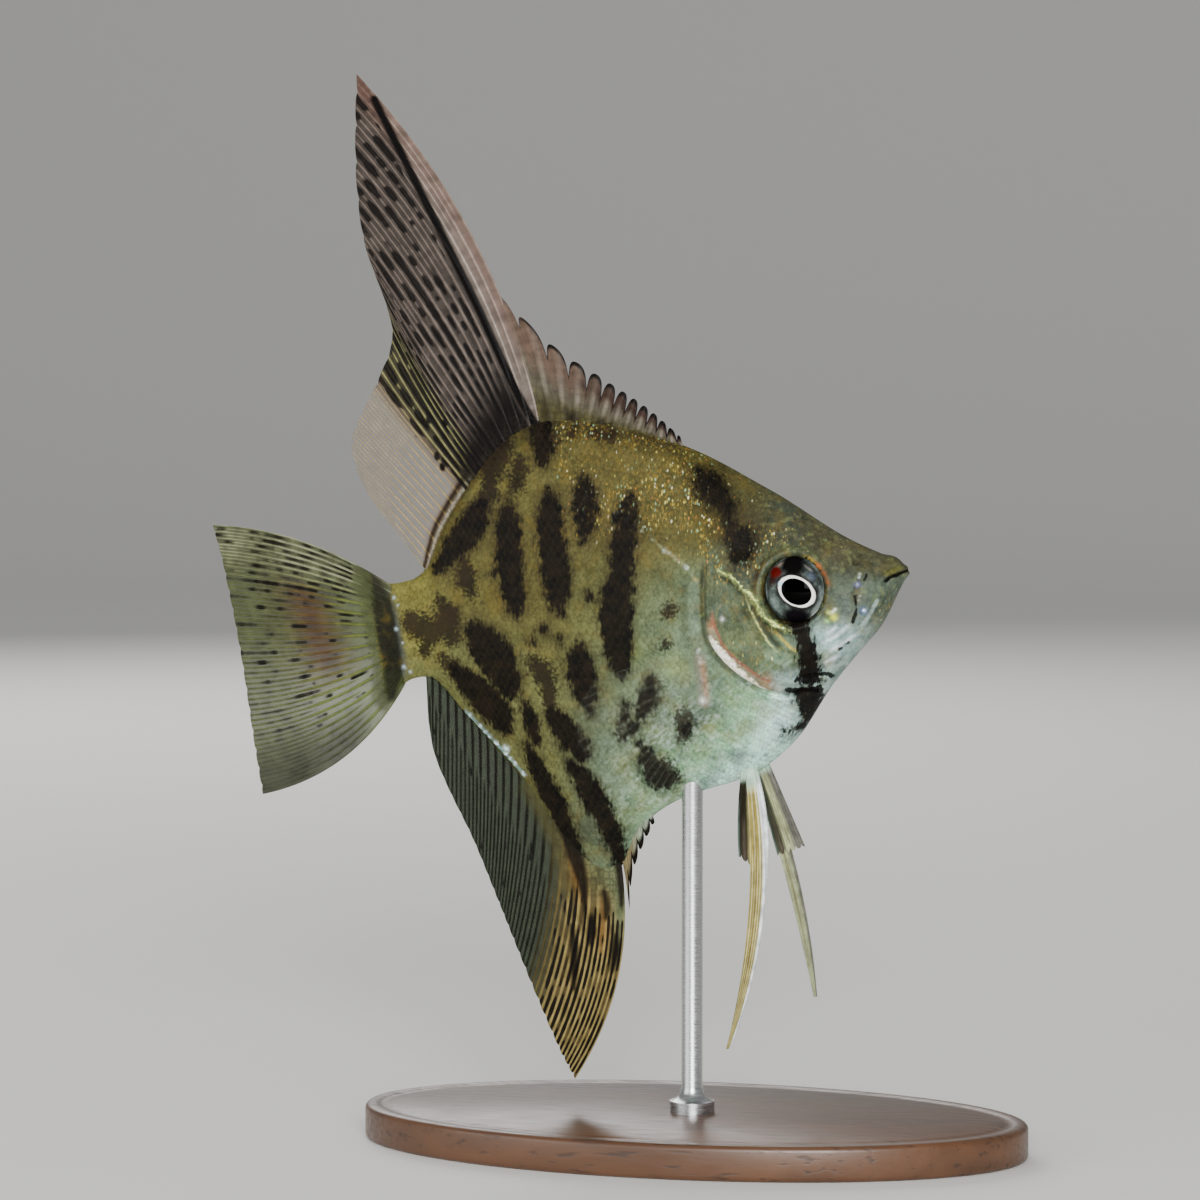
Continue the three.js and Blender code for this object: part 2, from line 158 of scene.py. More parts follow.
for name, spot, size, power in [
    ("key_softbox", (0.30, -0.95, 0.30), 0.45, 14.0),
    ("fill_softbox", (-0.70, -0.80, 0.18), 0.8, 6.0),
    ("rim_softbox", (-0.45, 0.75, 0.60), 0.6, 5.0),
]:
    aim = Vector((-0.01, 0, 0.08)) - Vector(spot)
    bpy.ops.object.light_add(type="AREA", location=spot, rotation=aim.to_track_quat("-Z", "Y").to_euler())
    lamp = bpy.context.object
    lamp.name = name
    lamp.data.size = size
    lamp.data.energy = power

sky = bpy.context.scene.world or bpy.data.worlds.new("sky")
bpy.context.scene.world = sky
sky.use_nodes = True
sky.node_tree.nodes["Background"].inputs["Color"].default_value = [*linear("eef0f2"), 1]
sky.node_tree.nodes["Background"].inputs["Strength"].default_value = 0.38


# ---------------------------------------------------------------- the skin
# One painted skin covers the head, the jaws, the gill covers, the trunk and the tail stem.
# It is cast in resin: the eye sockets, the mouth, the nostrils, the gill slits and the
# folds of the cheek are moulded in it, and its colours are airbrushed under a thin lacquer.

# Lengths are in millimetres in the fish's own frame: x from the tail's root to the snout,
# z above the long axis, y to the fish's left.
NOSE_UP = math.radians(7.74)
FISH_X, FISH_Z = -43.6, 71.8
BACK = [
    (-3.6, 9.1), (-1.0, 8.1), (1.6, 7.9), (5.2, 9.1), (9.3, 15.8), (15.3, 22.9), (20.7, 27.2), (26.8, 28.6),
    (36.8, 25.8), (47.5, 20.9), (57.7, 13.7), (66.4, 6.6), (71.6, 3.3), (73.8, 2.4), (75.2, 0.7),
]
BELLY = [
    (-3.6, -8.9), (-1.0, -7.4), (1.8, -6.3), (4.7, -6.9), (8.5, -12.3), (15.8, -22.5), (20.8, -31.7),
    (25.0, -36.7), (28.7, -36.4), (32.0, -31.5), (38.4, -27.9), (49.7, -25.4), (56.4, -21.3),
    (62.2, -14.6), (66.9, -10.1), (70.7, -6.6), (74.1, -1.6), (75.2, -0.2),
]
THICKEST_LEVEL = [
    (-1, 0.3), (10, 0.5), (25, -2.5), (40, -5), (52, -5), (61, -3), (68, -1.8), (75.2, 0.25),
]
HALF_WIDTH = [
    (-3.6, 0.34), (-1.6, 0.62), (1, 1.55), (4, 2.1), (12, 3.3), (22, 4.7), (34, 6.0), (46, 6.7), (54, 6.6),
    (60, 6.0), (66, 4.6), (70.5, 3.2), (73.5, 2.0), (75.2, 0.7),
]
EDGE_SHARPNESS = [(-1, 1.4), (45, 1.55), (62, 1.25), (75.2, 1.0)]
GILL_LINE = [
    (51.5, 24), (49.6, 12), (47.9, 4.0), (47.2, -1.0), (47.1, -5.0), (48.4, -8.2), (51.0, -11.3),
    (54.2, -13.7), (57.4, -14.7), (63.5, -15.4),
]
EYE_X, EYE_Z = 59.85, -0.25
EYE_WIDE, EYE_TALL = 0.95, 1.05    # of a round eye's
SOCKET_EDGE, SOCKET_WALL = 4.62, 4.2    # radii of the groove round the globe, and of the hollow behind it


def along(knots, x, column=1):
    """Smooth value of one column at x, through knots whose first column rises."""
    table = np.asarray(knots, float)
    last = len(table) - 1
    at = np.clip(x, table[0, 0], table[last, 0])
    i = np.clip(np.searchsorted(table[:, 0], at) - 1, 0, last - 1)
    before = np.maximum(np.arange(last + 1) - 1, 0)
    after = np.minimum(np.arange(last + 1) + 1, last)
    slope = (table[after, column] - table[before, column]) / (table[after, 0] - table[before, 0])
    span = table[i + 1, 0] - table[i, 0]
    t = (at - table[i, 0]) / span
    rise = 3 * t * t - 2 * t ** 3
    out = t * (1 - t) ** 2 * span * slope[i]
    into = t * t * (t - 1) * span * slope[i + 1]
    return table[i, column] * (1 - rise) + table[i + 1, column] * rise + out + into


def fade(start, end, value):
    """0 at start and before, 1 at end and beyond, and smooth between them."""
    t = np.clip((value - start) / (end - start), 0, 1)
    return t * t * (3 - 2 * t)


def hump(gap, width):
    """1 where the gap is nothing, falling away smoothly over the width."""
    return np.exp(-(gap / width) ** 2)


def tapered(part, begun, ended):
    """1 along the middle of a line's run from 0 to 1, and nothing at both its ends."""
    return fade(0, begun, part) * fade(1, ended, part)


def in_place(x, y, z):
    """Metres in the model's frame, from millimetres in the fish's own."""
    return np.stack([
        FISH_X + x * math.cos(NOSE_UP) - z * math.sin(NOSE_UP),
        y + 0 * x,
        FISH_Z + x * math.sin(NOSE_UP) + z * math.cos(NOSE_UP),
    ], axis=-1) / 1000


def in_fish(points):
    """Millimetres in the fish's own frame, from metres in the model's."""
    x = 1000 * points[:, 0] - FISH_X
    z = 1000 * points[:, 2] - FISH_Z
    return (
        x * math.cos(NOSE_UP) + z * math.sin(NOSE_UP),
        1000 * points[:, 1],
        -x * math.sin(NOSE_UP) + z * math.cos(NOSE_UP),
    )


def tail_swing(x):
    """How far the tail's swing moves the body to the fish's left."""
    return 0.003 * np.maximum(8 - x, 0) ** 2


def level_at(x, rise):
    """Height on the body, from -1 on the belly's edge through 0 where thickest to 1 on the back."""
    level = along(THICKEST_LEVEL, x)
    return level + rise * np.where(rise > 0, along(BACK, x) - level, level - along(BELLY, x))


def rise_at(x, z):
    """The other way round: how far up the body a height is, from -1 to 1."""
    level = along(THICKEST_LEVEL, x)
    span = np.where(z > level, along(BACK, x) - level, level - along(BELLY, x))
    return np.clip((z - level) / np.maximum(span, 0.2), -1, 1)


def half_width_at(x, rise):
    """Half the body's thickness there."""
    return along(HALF_WIDTH, x) * (1 - rise ** 2) ** (along(EDGE_SHARPNESS, x) / 2)


def smooth_run(points, count=20):
    """More points on the smooth line through a few, with every column carried along."""
    knots = [(i, *p) for i, p in enumerate(points)]
    at = np.linspace(0, len(points) - 1, count)
    return np.stack([along(knots, at, c + 1) for c in range(len(points[0]))], axis=1)


def from_line(points, x, z, count=20):
    """Distance from a smooth line, the part of its run there, and 1 on the left of it or -1."""
    run = smooth_run(points, count)
    nearest = np.full(np.shape(x), 1e6)
    part = np.zeros(np.shape(x))
    hand = np.ones(np.shape(x))
    for i in range(count - 1):
        a, b = run[i], run[i + 1]
        dx, dz = b[0] - a[0], b[1] - a[1]
        t = np.clip(((x - a[0]) * dx + (z - a[1]) * dz) / (dx * dx + dz * dz), 0, 1)
        gap = np.hypot(x - a[0] - t * dx, z - a[1] - t * dz)
        closer = gap < nearest
        nearest = np.where(closer, gap, nearest)
        part = np.where(closer, (i + t) / (count - 1), part)
        hand = np.where(closer, np.where(dx * (z - a[1]) > dz * (x - a[0]), 1.0, -1.0), hand)
    return nearest, part, hand


# Lines that the relief and the paint share. The folds of the cheek run down and forward
# from the top of the gill cover.
ORBIT_FOLD = [
    (49.4, 3.9), (50.8, 3.3), (52.2, 2.1), (53.4, 0.6), (54.7, -1.2), (55.6, -3.3), (57.4, -4.9),
    (59.5, -6.1),
]
CHEEK_FOLD = [(53.0, 0.6), (53.5, -1.5), (54.3, -3.9), (55.1, -5.9), (56.2, -7.8), (57.4, -9.4)]
UNDER_FOLD = [(56.3, -5.2), (57.4, -6.6), (58.4, -7.8), (59.3, -8.8)]
PREOPERCLE = [(51.0, -0.6), (52.0, -3.4), (53.3, -6.3), (55.0, -9.0), (57.6, -11.3)]
MOUTH = [(75.6, 0.5), (74.4, 0.15), (73.2, -0.1), (72.3, -0.7), (71.8, -1.6)]
LIP_FOLD = [(71.2, 2.6), (71.0, 1.0), (71.3, -0.6), (70.9, -2.4), (70.0, -4.4), (69.4, -5.8)]
SNOUT_GROOVE = [(70.0, 1.4), (68.9, -0.6), (68.0, -1.9), (67.8, -3.4), (67.3, -5.6)]
CHIN_LINE = [(58.4, -12.5), (60.8, -12.35), (63.4, -12.8)]
GILL_END = [(57.0, -14.3), (59.4, -14.6), (61.9, -14.0)]
JAW_FOLD = [(73.6, -1.6), (71.6, -4.0), (69.2, -6.8), (66.4, -9.4), (64.4, -11.6)]
LATERAL_LINE = [
    (46.6, 2.4), (45.2, 4.8), (42.4, 7.5), (39.2, 10.6), (34, 14.8), (27, 17.6), (20, 16.6), (13, 11.5),
]
FIN_LOBE = [(45.9, -7.0), (45.5, -9.0), (45.4, -11.2), (45.2, -13.6), (44.6, -15.2)]
PORES = [(68.9, 0.5), (68.6, -0.7), (68.9, -4.4), (68.7, -2.5), (66.2, -6.0), (66.0, 1.8), (63.4, 5.2)]


def from_eye(x, z):
    """Millimetres from the middle of the eye, which is a little taller than it is wide."""
    return np.hypot((x - EYE_X) / EYE_WIDE, (z - EYE_Z) / EYE_TALL)


def moulding(x, z):
    """How far the moulded skin stands out from the plain body, in millimetres."""
    out = np.zeros(np.shape(x))
    # The socket of the eye: a soft rim, a groove round the globe, and the hollow behind it.
    ring = from_eye(x, z)
    brow = 1 + 0.5 * fade(0, 4, z - EYE_Z)
    out += 0.20 * brow * hump(ring - 5.15, 0.5)
    out -= 0.22 * hump(ring - SOCKET_EDGE, 0.22)
    out -= 2.6 * fade(4.55, 4.1, ring)
    # The gill cover: a thin soft margin, then the bony plate, over the slit behind them.
    gap, part, hand = from_line(GILL_LINE, x, z, 40)
    ahead = gap * hand
    cover = fade(6.6, 3.4, z) * fade(61.5, 57.5, x)
    out += cover * (0.22 * fade(0.0, 0.35, ahead) + 0.24 * fade(1.25, 1.7, ahead) * fade(16, 6, ahead))
    out -= cover * 0.34 * hump(ahead + 0.22, 0.3)
    out += 0.12 * hump(ahead + 1.1, 0.6) * cover
    # Folds of the cheek, each a low ridge with a dip in front of it.
    for line, height, width in [
        (ORBIT_FOLD, 0.12, 0.35), (CHEEK_FOLD, 0.13, 0.38), (UNDER_FOLD, 0.08, 0.3), (PREOPERCLE, 0.13, 0.45),
    ]:
        gap, part, hand = from_line(line, x, z)
        taper = tapered(part, 0.15, 0.85)
        out += height * taper * (hump(gap, width) - 0.8 * hump(gap * hand - 1.6 * width, width))
    # The mouth: the cleft, a rolled lip above and below it, and the fold behind the lips.
    gap, part, hand = from_line(MOUTH, x, z)
    out -= 0.42 * hump(gap, 0.16) * fade(1, 0.85, part)
    out += 0.14 * hump(gap - 0.55, 0.34) * fade(1, 0.8, part)
    for line, depth, width in [
        (LIP_FOLD, 0.14, 0.26), (SNOUT_GROOVE, 0.16, 0.24), (CHIN_LINE, 0.22, 0.24),
        (GILL_END, 0.26, 0.26), (JAW_FOLD, 0.10, 0.3),
    ]:
        gap, part, hand = from_line(line, x, z)
        taper = tapered(part, 0.12, 0.88)
        out -= depth * taper * hump(gap, width)
        out += 0.45 * depth * taper * hump(gap * hand + 2.1 * width, 1.3 * width)
    # Nostrils, the pores of the snout and the cheek, and the pitted line along the flank.
    nostril = np.hypot(x - 68.6, z - 2.4)
    out += 0.10 * hump(nostril - 0.5, 0.2) - 0.5 * hump(nostril, 0.3)
    for px, pz in PORES:
        out -= 0.14 * hump(np.hypot(x - px, z - pz), 0.24)
    gap, part, hand = from_line(LATERAL_LINE, x, z, 40)
    out += 0.05 * hump(gap, 0.5) * (1 + np.cos(part * 2 * math.pi * 30))
    # The fleshy root of the breast fin, and the shoulder's edge behind the gill slit.
    gap, part, hand = from_line(FIN_LOBE, x, z)
    lobe = tapered(part, 0.12, 0.8)
    out += 0.55 * lobe * hump(gap, 0.85)
    return out


def mark(points, x, z, count=14):
    """Distance outside a mark whose middle line is given as (x, z, half width); inside it is negative."""
    run = smooth_run(points, count) if len(points) > 1 else np.array([points[0], points[0]], float)
    run[:, 2] = np.maximum(run[:, 2], 0.05)
    outside = np.full(np.shape(x), 1e6)
    for a, b in zip(run[:-1], run[1:]):
        dx, dz = b[0] - a[0], b[1] - a[1]
        t = np.clip(((x - a[0]) * dx + (z - a[1]) * dz) / max(dx * dx + dz * dz, 1e-9), 0, 1)
        gap = np.hypot(x - a[0] - t * dx, z - a[1] - t * dz) - (a[2] + t * (b[2] - a[2]))
        outside = np.minimum(outside, gap)
    return outside


# The broken bars and spots, each with its middle line and half width.
FLANK_MARKS = [
    [(37.9, 15.5, 0.3), (37.2, 13.3, 1.5), (36.5, 10.2, 1.5), (36.1, 6.8, 1.4), (35.4, 4.0, 1.8),
     (34.4, 1.0, 2.3), (34.0, -3.0, 2.0), (33.9, -6.4, 1.7), (33.8, -9.2, 0.5)],
    [(25.9, 17.8, 0.3), (26.0, 15.9, 1.4), (25.9, 12.8, 1.8), (25.9, 8.6, 1.9), (26.1, 5.2, 2.0),
     (25.8, 2.8, 1.4), (26.1, 0.6, 0.4)],
    [(19.8, 16.4, 0.6), (19.6, 14.6, 1.5), (19.3, 11.4, 1.8), (19.2, 7.0, 1.7), (19.4, 3.4, 1.4),
     (19.5, 1.2, 0.4)],
    [(31.3, 18.9, 0.2), (31.3, 16.8, 1.4), (31.2, 14.4, 1.7), (31.1, 12.2, 1.1), (30.5, 10.4, 0.3)],
    [(25.6, 28.4, 0.9), (25.5, 25.6, 1.3), (25.6, 23.2, 1.1), (25.4, 21.9, 0.3)],
    [(15.6, 17.2, 0.6), (14.5, 15.2, 1.8), (12.6, 13.2, 2.1), (10.2, 11.1, 1.5), (7.8, 9.2, 0.7)],
    [(12.4, 0.0, 0.9), (13.6, -2.2, 2.2), (15.2, -4.8, 2.6), (16.4, -7.9, 2.0), (16.8, -9.8, 0.7)],
    [(8.6, -5.2, 0.6), (10.2, -7.5, 1.6), (12.3, -10.2, 2.2), (14.2, -12.6, 2.0), (15.0, -15.0, 0.7)],
    [(28.3, -4.0, 0.3), (28.0, -6.4, 1.6), (27.9, -8.6, 2.0), (28.1, -10.8, 1.5), (28.5, -14.0, 0.3)],
    [(22.4, -13.2, 0.6), (23.6, -15.0, 1.6), (24.9, -17.0, 1.8), (26.2, -19.4, 1.2)],
    [(18.7, -12.0, 0.6), (19.1, -14.0, 1.1), (19.4, -16.0, 1.0), (19.8, -17.6, 0.2)],
    [(17.8, -17.6, 0.5), (19.0, -21.5, 1.3), (20.6, -26.5, 1.5), (21.8, -31.0, 1.2), (22.4, -36.6, 0.8)],
    [(24.2, -20.6, 0.6), (25.9, -24.0, 1.5), (27.4, -27.8, 1.6), (28.4, -31.5, 1.3), (28.8, -36.0, 0.7)],
    [(37.9, -10.5, 0.4), (37.0, -12.9, 1.2), (35.7, -14.9, 0.9)],
    [(35.0, -19.3, 0.5), (35.6, -22.2, 1.2), (36.6, -24.5, 1.4), (38.9, -24.4, 0.5)],
    [(33.6, -13.4, 0.42)], [(33.3, -15.2, 0.35)], [(34.6, -16.6, 0.35), (32.6, -18.0, 0.25)],
    [(41.7, -17.8, 0.7)],
    [(16.8, 7.6, 0.42)], [(23.0, -1.5, 0.45)], [(25.4, -3.2, 0.32)], [(21.2, -3.1, 0.25)],
    [(30.4, 2.6, 0.42)], [(18.3, 2.1, 0.42)],
]
# The bar through the eye, broken into a nape patch, a cheek bar and a wedge under the gills.
HEAD_MARKS = [
    [(47.2, 18.2, 0.5), (48.8, 16.2, 1.9), (50.3, 14.0, 1.9), (51.7, 12.0, 1.3), (51.9, 10.6, 0.7)],
    [(51.7, 11.0, 0.9), (52.3, 8.8, 1.4), (53.2, 7.2, 2.2), (53.2, 5.8, 1.9), (52.4, 4.6, 1.0)],
    [(60.1, -4.4, 1.4), (60.3, -6.4, 1.15), (60.6, -8.6, 1.25), (60.5, -11.0, 1.25), (60.2, -12.4, 1.5)],
    [(59.4, -15.6, 1.9), (59.3, -17.0, 1.2), (58.4, -18.6, 0.85), (57.2, -19.5, 0.6), (55.2, -20.0, 0.3)],
]
# Brown and slate marks that are softer and half covering.
SOFT_MARKS = [
    [(3.0, 2.0, 1.1), (4.4, 0.9, 2.0), (5.6, 0.3, 1.7), (4.0, -2.4, 1.0)],
    [(7.8, 4.3, 1.0), (8.4, 1.8, 1.8), (8.8, -0.8, 1.4)],
    [(12.1, 9.6, 0.8), (12.4, 7.4, 1.5), (12.5, 5.4, 1.3), (12.4, 4.1, 0.6)],
    [(21.9, 22.2, 0.9), (21.4, 19.6, 1.4)],
    [(19.4, 25.0, 1.6), (17.6, 22.4, 1.8), (16.9, 19.6, 1.2)], [(27.0, 25.0, 1.0)],
    [(17.0, 18.6, 1.5), (14.0, 16.2, 1.6)],
    [(21.1, -5.2, 0.9), (22.2, -7.8, 1.6), (22.5, -9.8, 1.4), (22.3, -12.0, 1.0)],
    [(7.0, -4.0, 0.7), (8.4, -5.6, 0.9), (9.4, -7.4, 0.5)],
    [(33.4, -15.0, 0.8), (32.4, -17.2, 0.8)], [(41.6, -16.5, 1.4), (41.4, -18.8, 0.8)], [(38.0, -23.0, 1.2)],
    [(42.1, -0.9, 0.9)], [(40.9, -5.7, 0.8)], [(38.6, -10.6, 0.5)], [(29.8, 25.6, 0.7), (30.6, 26.6, 0.5)],
    [(33.0, 25.0, 0.5), (35.6, 24.6, 0.6)],
]
TAIL_BAND = [
    (-3.3, 8.8, 1.4), (-2.1, 6.0, 1.9), (-1.5, 2.5, 2.1), (-1.3, -1.1, 2.1), (-1.2, -4.1, 1.9),
    (-2.6, -7.9, 1.4),
]
CHEEK_STREAKS = [
    [(62.4, -8.3), (64.6, -7.4), (67.2, -5.9)], [(62.6, -9.8), (65.0, -8.7), (67.9, -7.2)],
    [(62.1, -11.0), (63.4, -10.6), (65.2, -9.8)], [(63.2, -7.1), (64.4, -6.5), (65.4, -5.9)],
]
BEAD_LINE = [(8.6, -11.4), (10.6, -14.0), (12.6, -16.7), (14.6, -19.4), (16.6, -22.2)]
FINE_LINES = [
    ([(58.3, -12.7), (60.0, -12.4), (62.1, -12.5), (63.0, -12.9)], 0.3),
    ([(57.0, -14.0), (59.0, -14.25), (61.1, -14.5)], 0.42),
    ([(64.7, -9.3), (65.1, -9.1)], 0.16), ([(65.7, -8.7), (66.2, -8.5)], 0.08),
    ([(68.1, -2.2), (68.0, -4.1), (67.3, -5.7)], 0.22),
    ([(69.9, 0.5), (69.6, -0.2)], 0.16),
    ([(75.5, 0.5), (74.2, 0.0), (73.2, -0.2), (72.4, -0.7)], 0.19),
]


def ink_gap(x, z, side):
    """Distance outside the nearest black mark, in millimetres; the left flank's lie a little apart."""
    shift = np.where(side > 0, 1.0, 0.0) * fade(56, 44, x)
    fx = x + shift * (0.9 * np.sin(z / 5.0) - 0.4)
    fz = z + shift * (0.8 * np.cos(x / 4.0) + 0.5)
    marks = [mark(points, fx, fz) - 0.28 for points in FLANK_MARKS]
    marks += [mark(points, x, z) for points in HEAD_MARKS]
    return np.clip(np.min(marks, axis=0), -2, 4)


def line_gap(x, z):
    """Distance outside the nearest of the head's fine black lines, in millimetres."""
    gaps = [from_line(points, x, z)[0] - breadth for points, breadth in FINE_LINES]
    return np.clip(np.min(gaps, axis=0), -1, 3)


def skin_paint(x, z):
    """Linear colour of the airbrushed ground at places on the body."""
    rise = rise_at(x, z)
    paint = np.tile(linear("585a35"), (*np.shape(x), 1))

    def lay(code, cover):
        cover = np.clip(cover, 0, 1)[..., None]
        paint[...] = paint * (1 - cover) + np.array(linear(code)) * cover

    def spot(code, px, pz, size, cover=0.9):
        lay(code, cover * hump(np.hypot(x - px, z - pz), size))

    lay("4c4724", 0.85 * fade(31, 23, x) * fade(-0.3, 0.2, rise))
    lay("4a4525", 0.9 * fade(0.15, 0.5, rise) * fade(22, 30, x))
    lay("534c29", 0.8 * fade(0.7, 0.92, rise) * fade(28, 33, x) * fade(48, 38, x))
    # Painted shade along the back's edge, where the dorsal fin is rooted.
    lay("2c2818", 0.9 * fade(0.86, 0.98, rise) * fade(49, 45, x))
    lay("6c6834", 0.9 * fade(10, 4, x))
    lay("5d5f38", 0.9 * fade(-0.2, -0.6, rise) * fade(27, 18, x))
    # Silver creeps up from the belly in front and fades out towards the tail and the back.
    bright = (x - 30) / 25 + (-12 - z) / 25
    lay("58654a", fade(-0.45, 0.1, bright) * fade(19, 30, x) * fade(10, 2, z))
    lay("677860", fade(0.05, 0.5, bright) * fade(21, 31, x) * fade(6, -2, z))
    lay("70906f", fade(0.4, 0.85, bright) * fade(24, 34, x) * fade(2, -6, z))
    lay("8fc09a", fade(0.75, 1.08, bright) * fade(26, 36, x) * fade(-2, -8, z))
    lay("c4efe4", fade(1.02, 1.3, bright) * fade(-12, -16, z))
    lay("c4f4e4", 0.9 * fade(-0.84, -0.96, rise) * fade(38, 45, x) * fade(58, 54, x))
    lay("86a07f", 0.7 * fade(-0.8, -0.95, rise) * fade(30, 34, x) * fade(42, 38, x))
    for code, cover, spots in [
        ("76803f", 0.42, [
            (46.0, -17.5, 1.8), (37.5, -17.0, 2.0), (31.5, -22.0, 1.6), (42.0, -9.0, 2.0), (49.5, -14.5, 1.5),
            (36.0, -6.0, 1.6), (43.5, -21.0, 1.4), (52.5, -16.0, 1.3)]),
        ("59665a", 0.4, [(47.5, -12.0, 1.6), (44.0, -14.5, 1.5), (39.0, -14.0, 1.5), (50.5, -18.5, 1.5)]),
    ]:
        for px, pz, size in spots:
            spot(code, px, pz, size, cover)
    # The head: an olive crown, a grey snout and a green gill cover.
    lay("45421f", 0.9 * fade(44, 50, x) * fade(0.2, 0.6, rise))
    lay("3b3a26", fade(49, 55, x) * fade(0.25, 0.7, rise))
    gap, part, hand = from_line(GILL_LINE, x, z, 40)
    ahead = gap * hand
    plate = fade(-0.3, 0.4, ahead) * fade(9, 4, z)
    lay("4d5842", plate)
    lay("668060", 0.8 * plate * hump(np.hypot((x - 57.0) * 0.8, z + 8.6), 2.4))
    lay("66683c", 0.5 * plate * hump(np.hypot((x - 54.0) * 0.9, z + 6.0), 1.5))
    lay("4a5640", 0.7 * plate * hump(np.hypot((x - 51.0) * 1.2, z + 5.6), 1.8))
    lay("48523f", 0.9 * plate * fade(-2, 1, z) * fade(57, 54, x))
    lay("3d4236", fade(56, 60, x) * fade(-2.0, 2.0, z))
    lay("4c5549", fade(61, 65, x) * fade(1.5, -2.5, z))
    lay("454331", 0.85 * fade(60, 64, x) * fade(1.6, 4.4, z + 0.35 * (x - 64)))
    lay("5b6864", 0.9 * hump(np.hypot((x - 66.6) * 0.7, z + 5.4), 2.2))
    lay("a8cdc8", hump(np.hypot((x - 64.6) * 0.62, (z + 8.4) * 0.95 + 0.25 * (x - 65)), 2.3))
    lay("98b4ae", fade(-10.4, -12.2, z) * fade(54, 57, x) * fade(-0.1, -0.3, rise))
    lay("6f827d", 0.8 * fade(-0.6, -0.95, rise) * fade(60, 64, x))
    lay("4f5a4d", 0.9 * fade(68.5, 71, x) * fade(0.4, -1.0, z))
    lay("4a4a30", 0.8 * hump(np.hypot(x - 73.4, z - 1.6), 1.0))
    lay("565a2a", 0.7 * fade(0.3, -0.1, mark([(72.4, 0.2, 0.1), (73.4, 0.55, 0.3), (74.4, 0.8, 0.15)], x, z)))
    for code, px, pz, size, cover in [
        ("2c332c", 58.9, 9.8, 2.6, 0.6), ("273020", 53.0, -2.4, 1.3, 0.7), ("273020", 54.6, -6.0, 1.0, 0.5),
        ("6f7f58", 50.6, -6.4, 1.5, 0.6), ("2a3226", 56.4, -0.6, 1.0, 0.7), ("35423a", 53.4, 2.4, 1.8, 0.7),
        ("39433a", 71.7, -3.4, 1.7, 0.8), ("3b4237", 70.6, 0.8, 1.5, 0.7), ("3c4a3c", 28.7, -20.9, 2.6, 0.5),
        ("434b38", 30.6, -14.6, 3.0, 0.6), ("4d4f2e", 30.2, -10.4, 2.4, 0.8),
        ("3b4333", 25.0, -30.8, 2.4, 0.85), ("545f40", 29.9, -30.2, 2.2, 0.8),
        ("4a5540", 26.6, -34.2, 2.6, 0.85), ("3c4842", 44.2, -16.6, 1.7, 0.8),
        ("4a5a50", 46.6, -15.2, 1.3, 0.7), ("465148", 38.6, -16.4, 1.6, 0.6), ("45431f", 47.6, 19.6, 2.4, 0.5),
        ("464b2d", 53.2, 14.4, 1.9, 0.6), ("8dbd8e", 40.2, -22.3, 2.2, 0.6), ("7f9773", 34.9, -18.5, 1.5, 0.6),
        ("74885f", 29.9, -29.8, 1.3, 0.7), ("434f42", 52.9, -7.8, 1.3, 0.6), ("5e7862", 57.0, -8.6, 1.6, 0.8),
        ("3b4b3c", 56.0, -3.6, 1.4, 0.5), ("5a6b60", 49.2, -2.0, 1.2, 0.6), ("d4fffa", 55.2, -18.4, 2.2, 0.9),
    ]:
        spot(code, px, pz, size, cover)
    # Painted shade in the gill slit, along the upper part of the cover's edge.
    lay("24231a", 0.75 * hump(ahead + 0.4, 0.5) * fade(6.0, 3.0, z) * fade(56, 52, x))
    lay("68776a", 0.3 * hump(ahead + 1.7, 0.8) * fade(4.5, 1.5, z) * fade(-8, -4, z))
    lay("2e3226", 0.5 * hump(ahead + 3.0, 0.6) * fade(4.5, 1.5, z) * fade(-8, -4, z))
    margin = fade(-0.1, 0.2, ahead) * fade(2.0, 1.2, ahead)
    lay("9a8a70", 0.5 * margin * fade(-1.6, -4.2, z) * fade(57.6, 55.0, x))
    lay("c07a52", 0.7 * hump(np.hypot(x - 48.0, z + 3.6), 0.5))
    lay("9a6040", 0.5 * hump(np.hypot(x - 54.6, z + 12.2), 0.9))
    # Bright slanting streaks of silver across the cheek.
    for points in CHEEK_STREAKS:
        gap, part, hand = from_line(points, x, z)
        lay("e9f1fb", 0.8 * hump(gap, 0.26) * tapered(part, 0.3, 0.6))
        lay("4e5a58", 0.25 * hump(gap * hand + 0.55, 0.25) * tapered(part, 0.3, 0.6))
    # The folds behind the eye are shaded on one side.
    for line, code, width, away in [(ORBIT_FOLD, "181d14", 0.42, -0.72), (CHEEK_FOLD, "20261a", 0.42, 0.6)]:
        gap, part, hand = from_line(line, x, z)
        lay(code, 0.9 * hump(gap * hand - away, width) * tapered(part, 0.2, 0.85))
    ring = from_eye(x, z)
    turn = np.degrees(np.arctan2(z - EYE_Z, x - EYE_X))
    lay("55603f", 0.5 * hump(ring - 5.4, 0.5) * hump(turn - 75, 50))
    # Painted shade: dark brown outside the socket's rim, behind and above the eye.
    lay("2a1c13", 0.9 * hump(ring - 5.5, 0.6) * hump(turn - 150, 44))
    lay("83927a", 0.35 * hump(ring - 4.95, 0.16) * hump(turn - 145, 40))
    arc = ring - 4.68 - 0.5 * (45 - turn) / 45
    beaded = 0.72 + 0.28 * np.sin(turn / 2.6)
    lay("8a4424", 0.9 * hump(arc, 0.26) * fade(-10, 6, turn) * fade(54, 42, turn) * beaded)
    lay("c0662c", 0.8 * hump(arc, 0.2) * hump(turn - 38, 7))
    lay("a08a34", 0.8 * hump(ring - 4.72, 0.24) * hump(turn - 54, 10))
    # Painted shade in the socket: a dark line in the groove below the globe, and black in the groove and the
    # hollow all round it.
    lay("0d0b09", hump(ring - 4.72, 0.2) * fade(35, -20, turn) * fade(-150, -110, turn))
    lay("0b0907", fade(4.66, 4.48, ring))
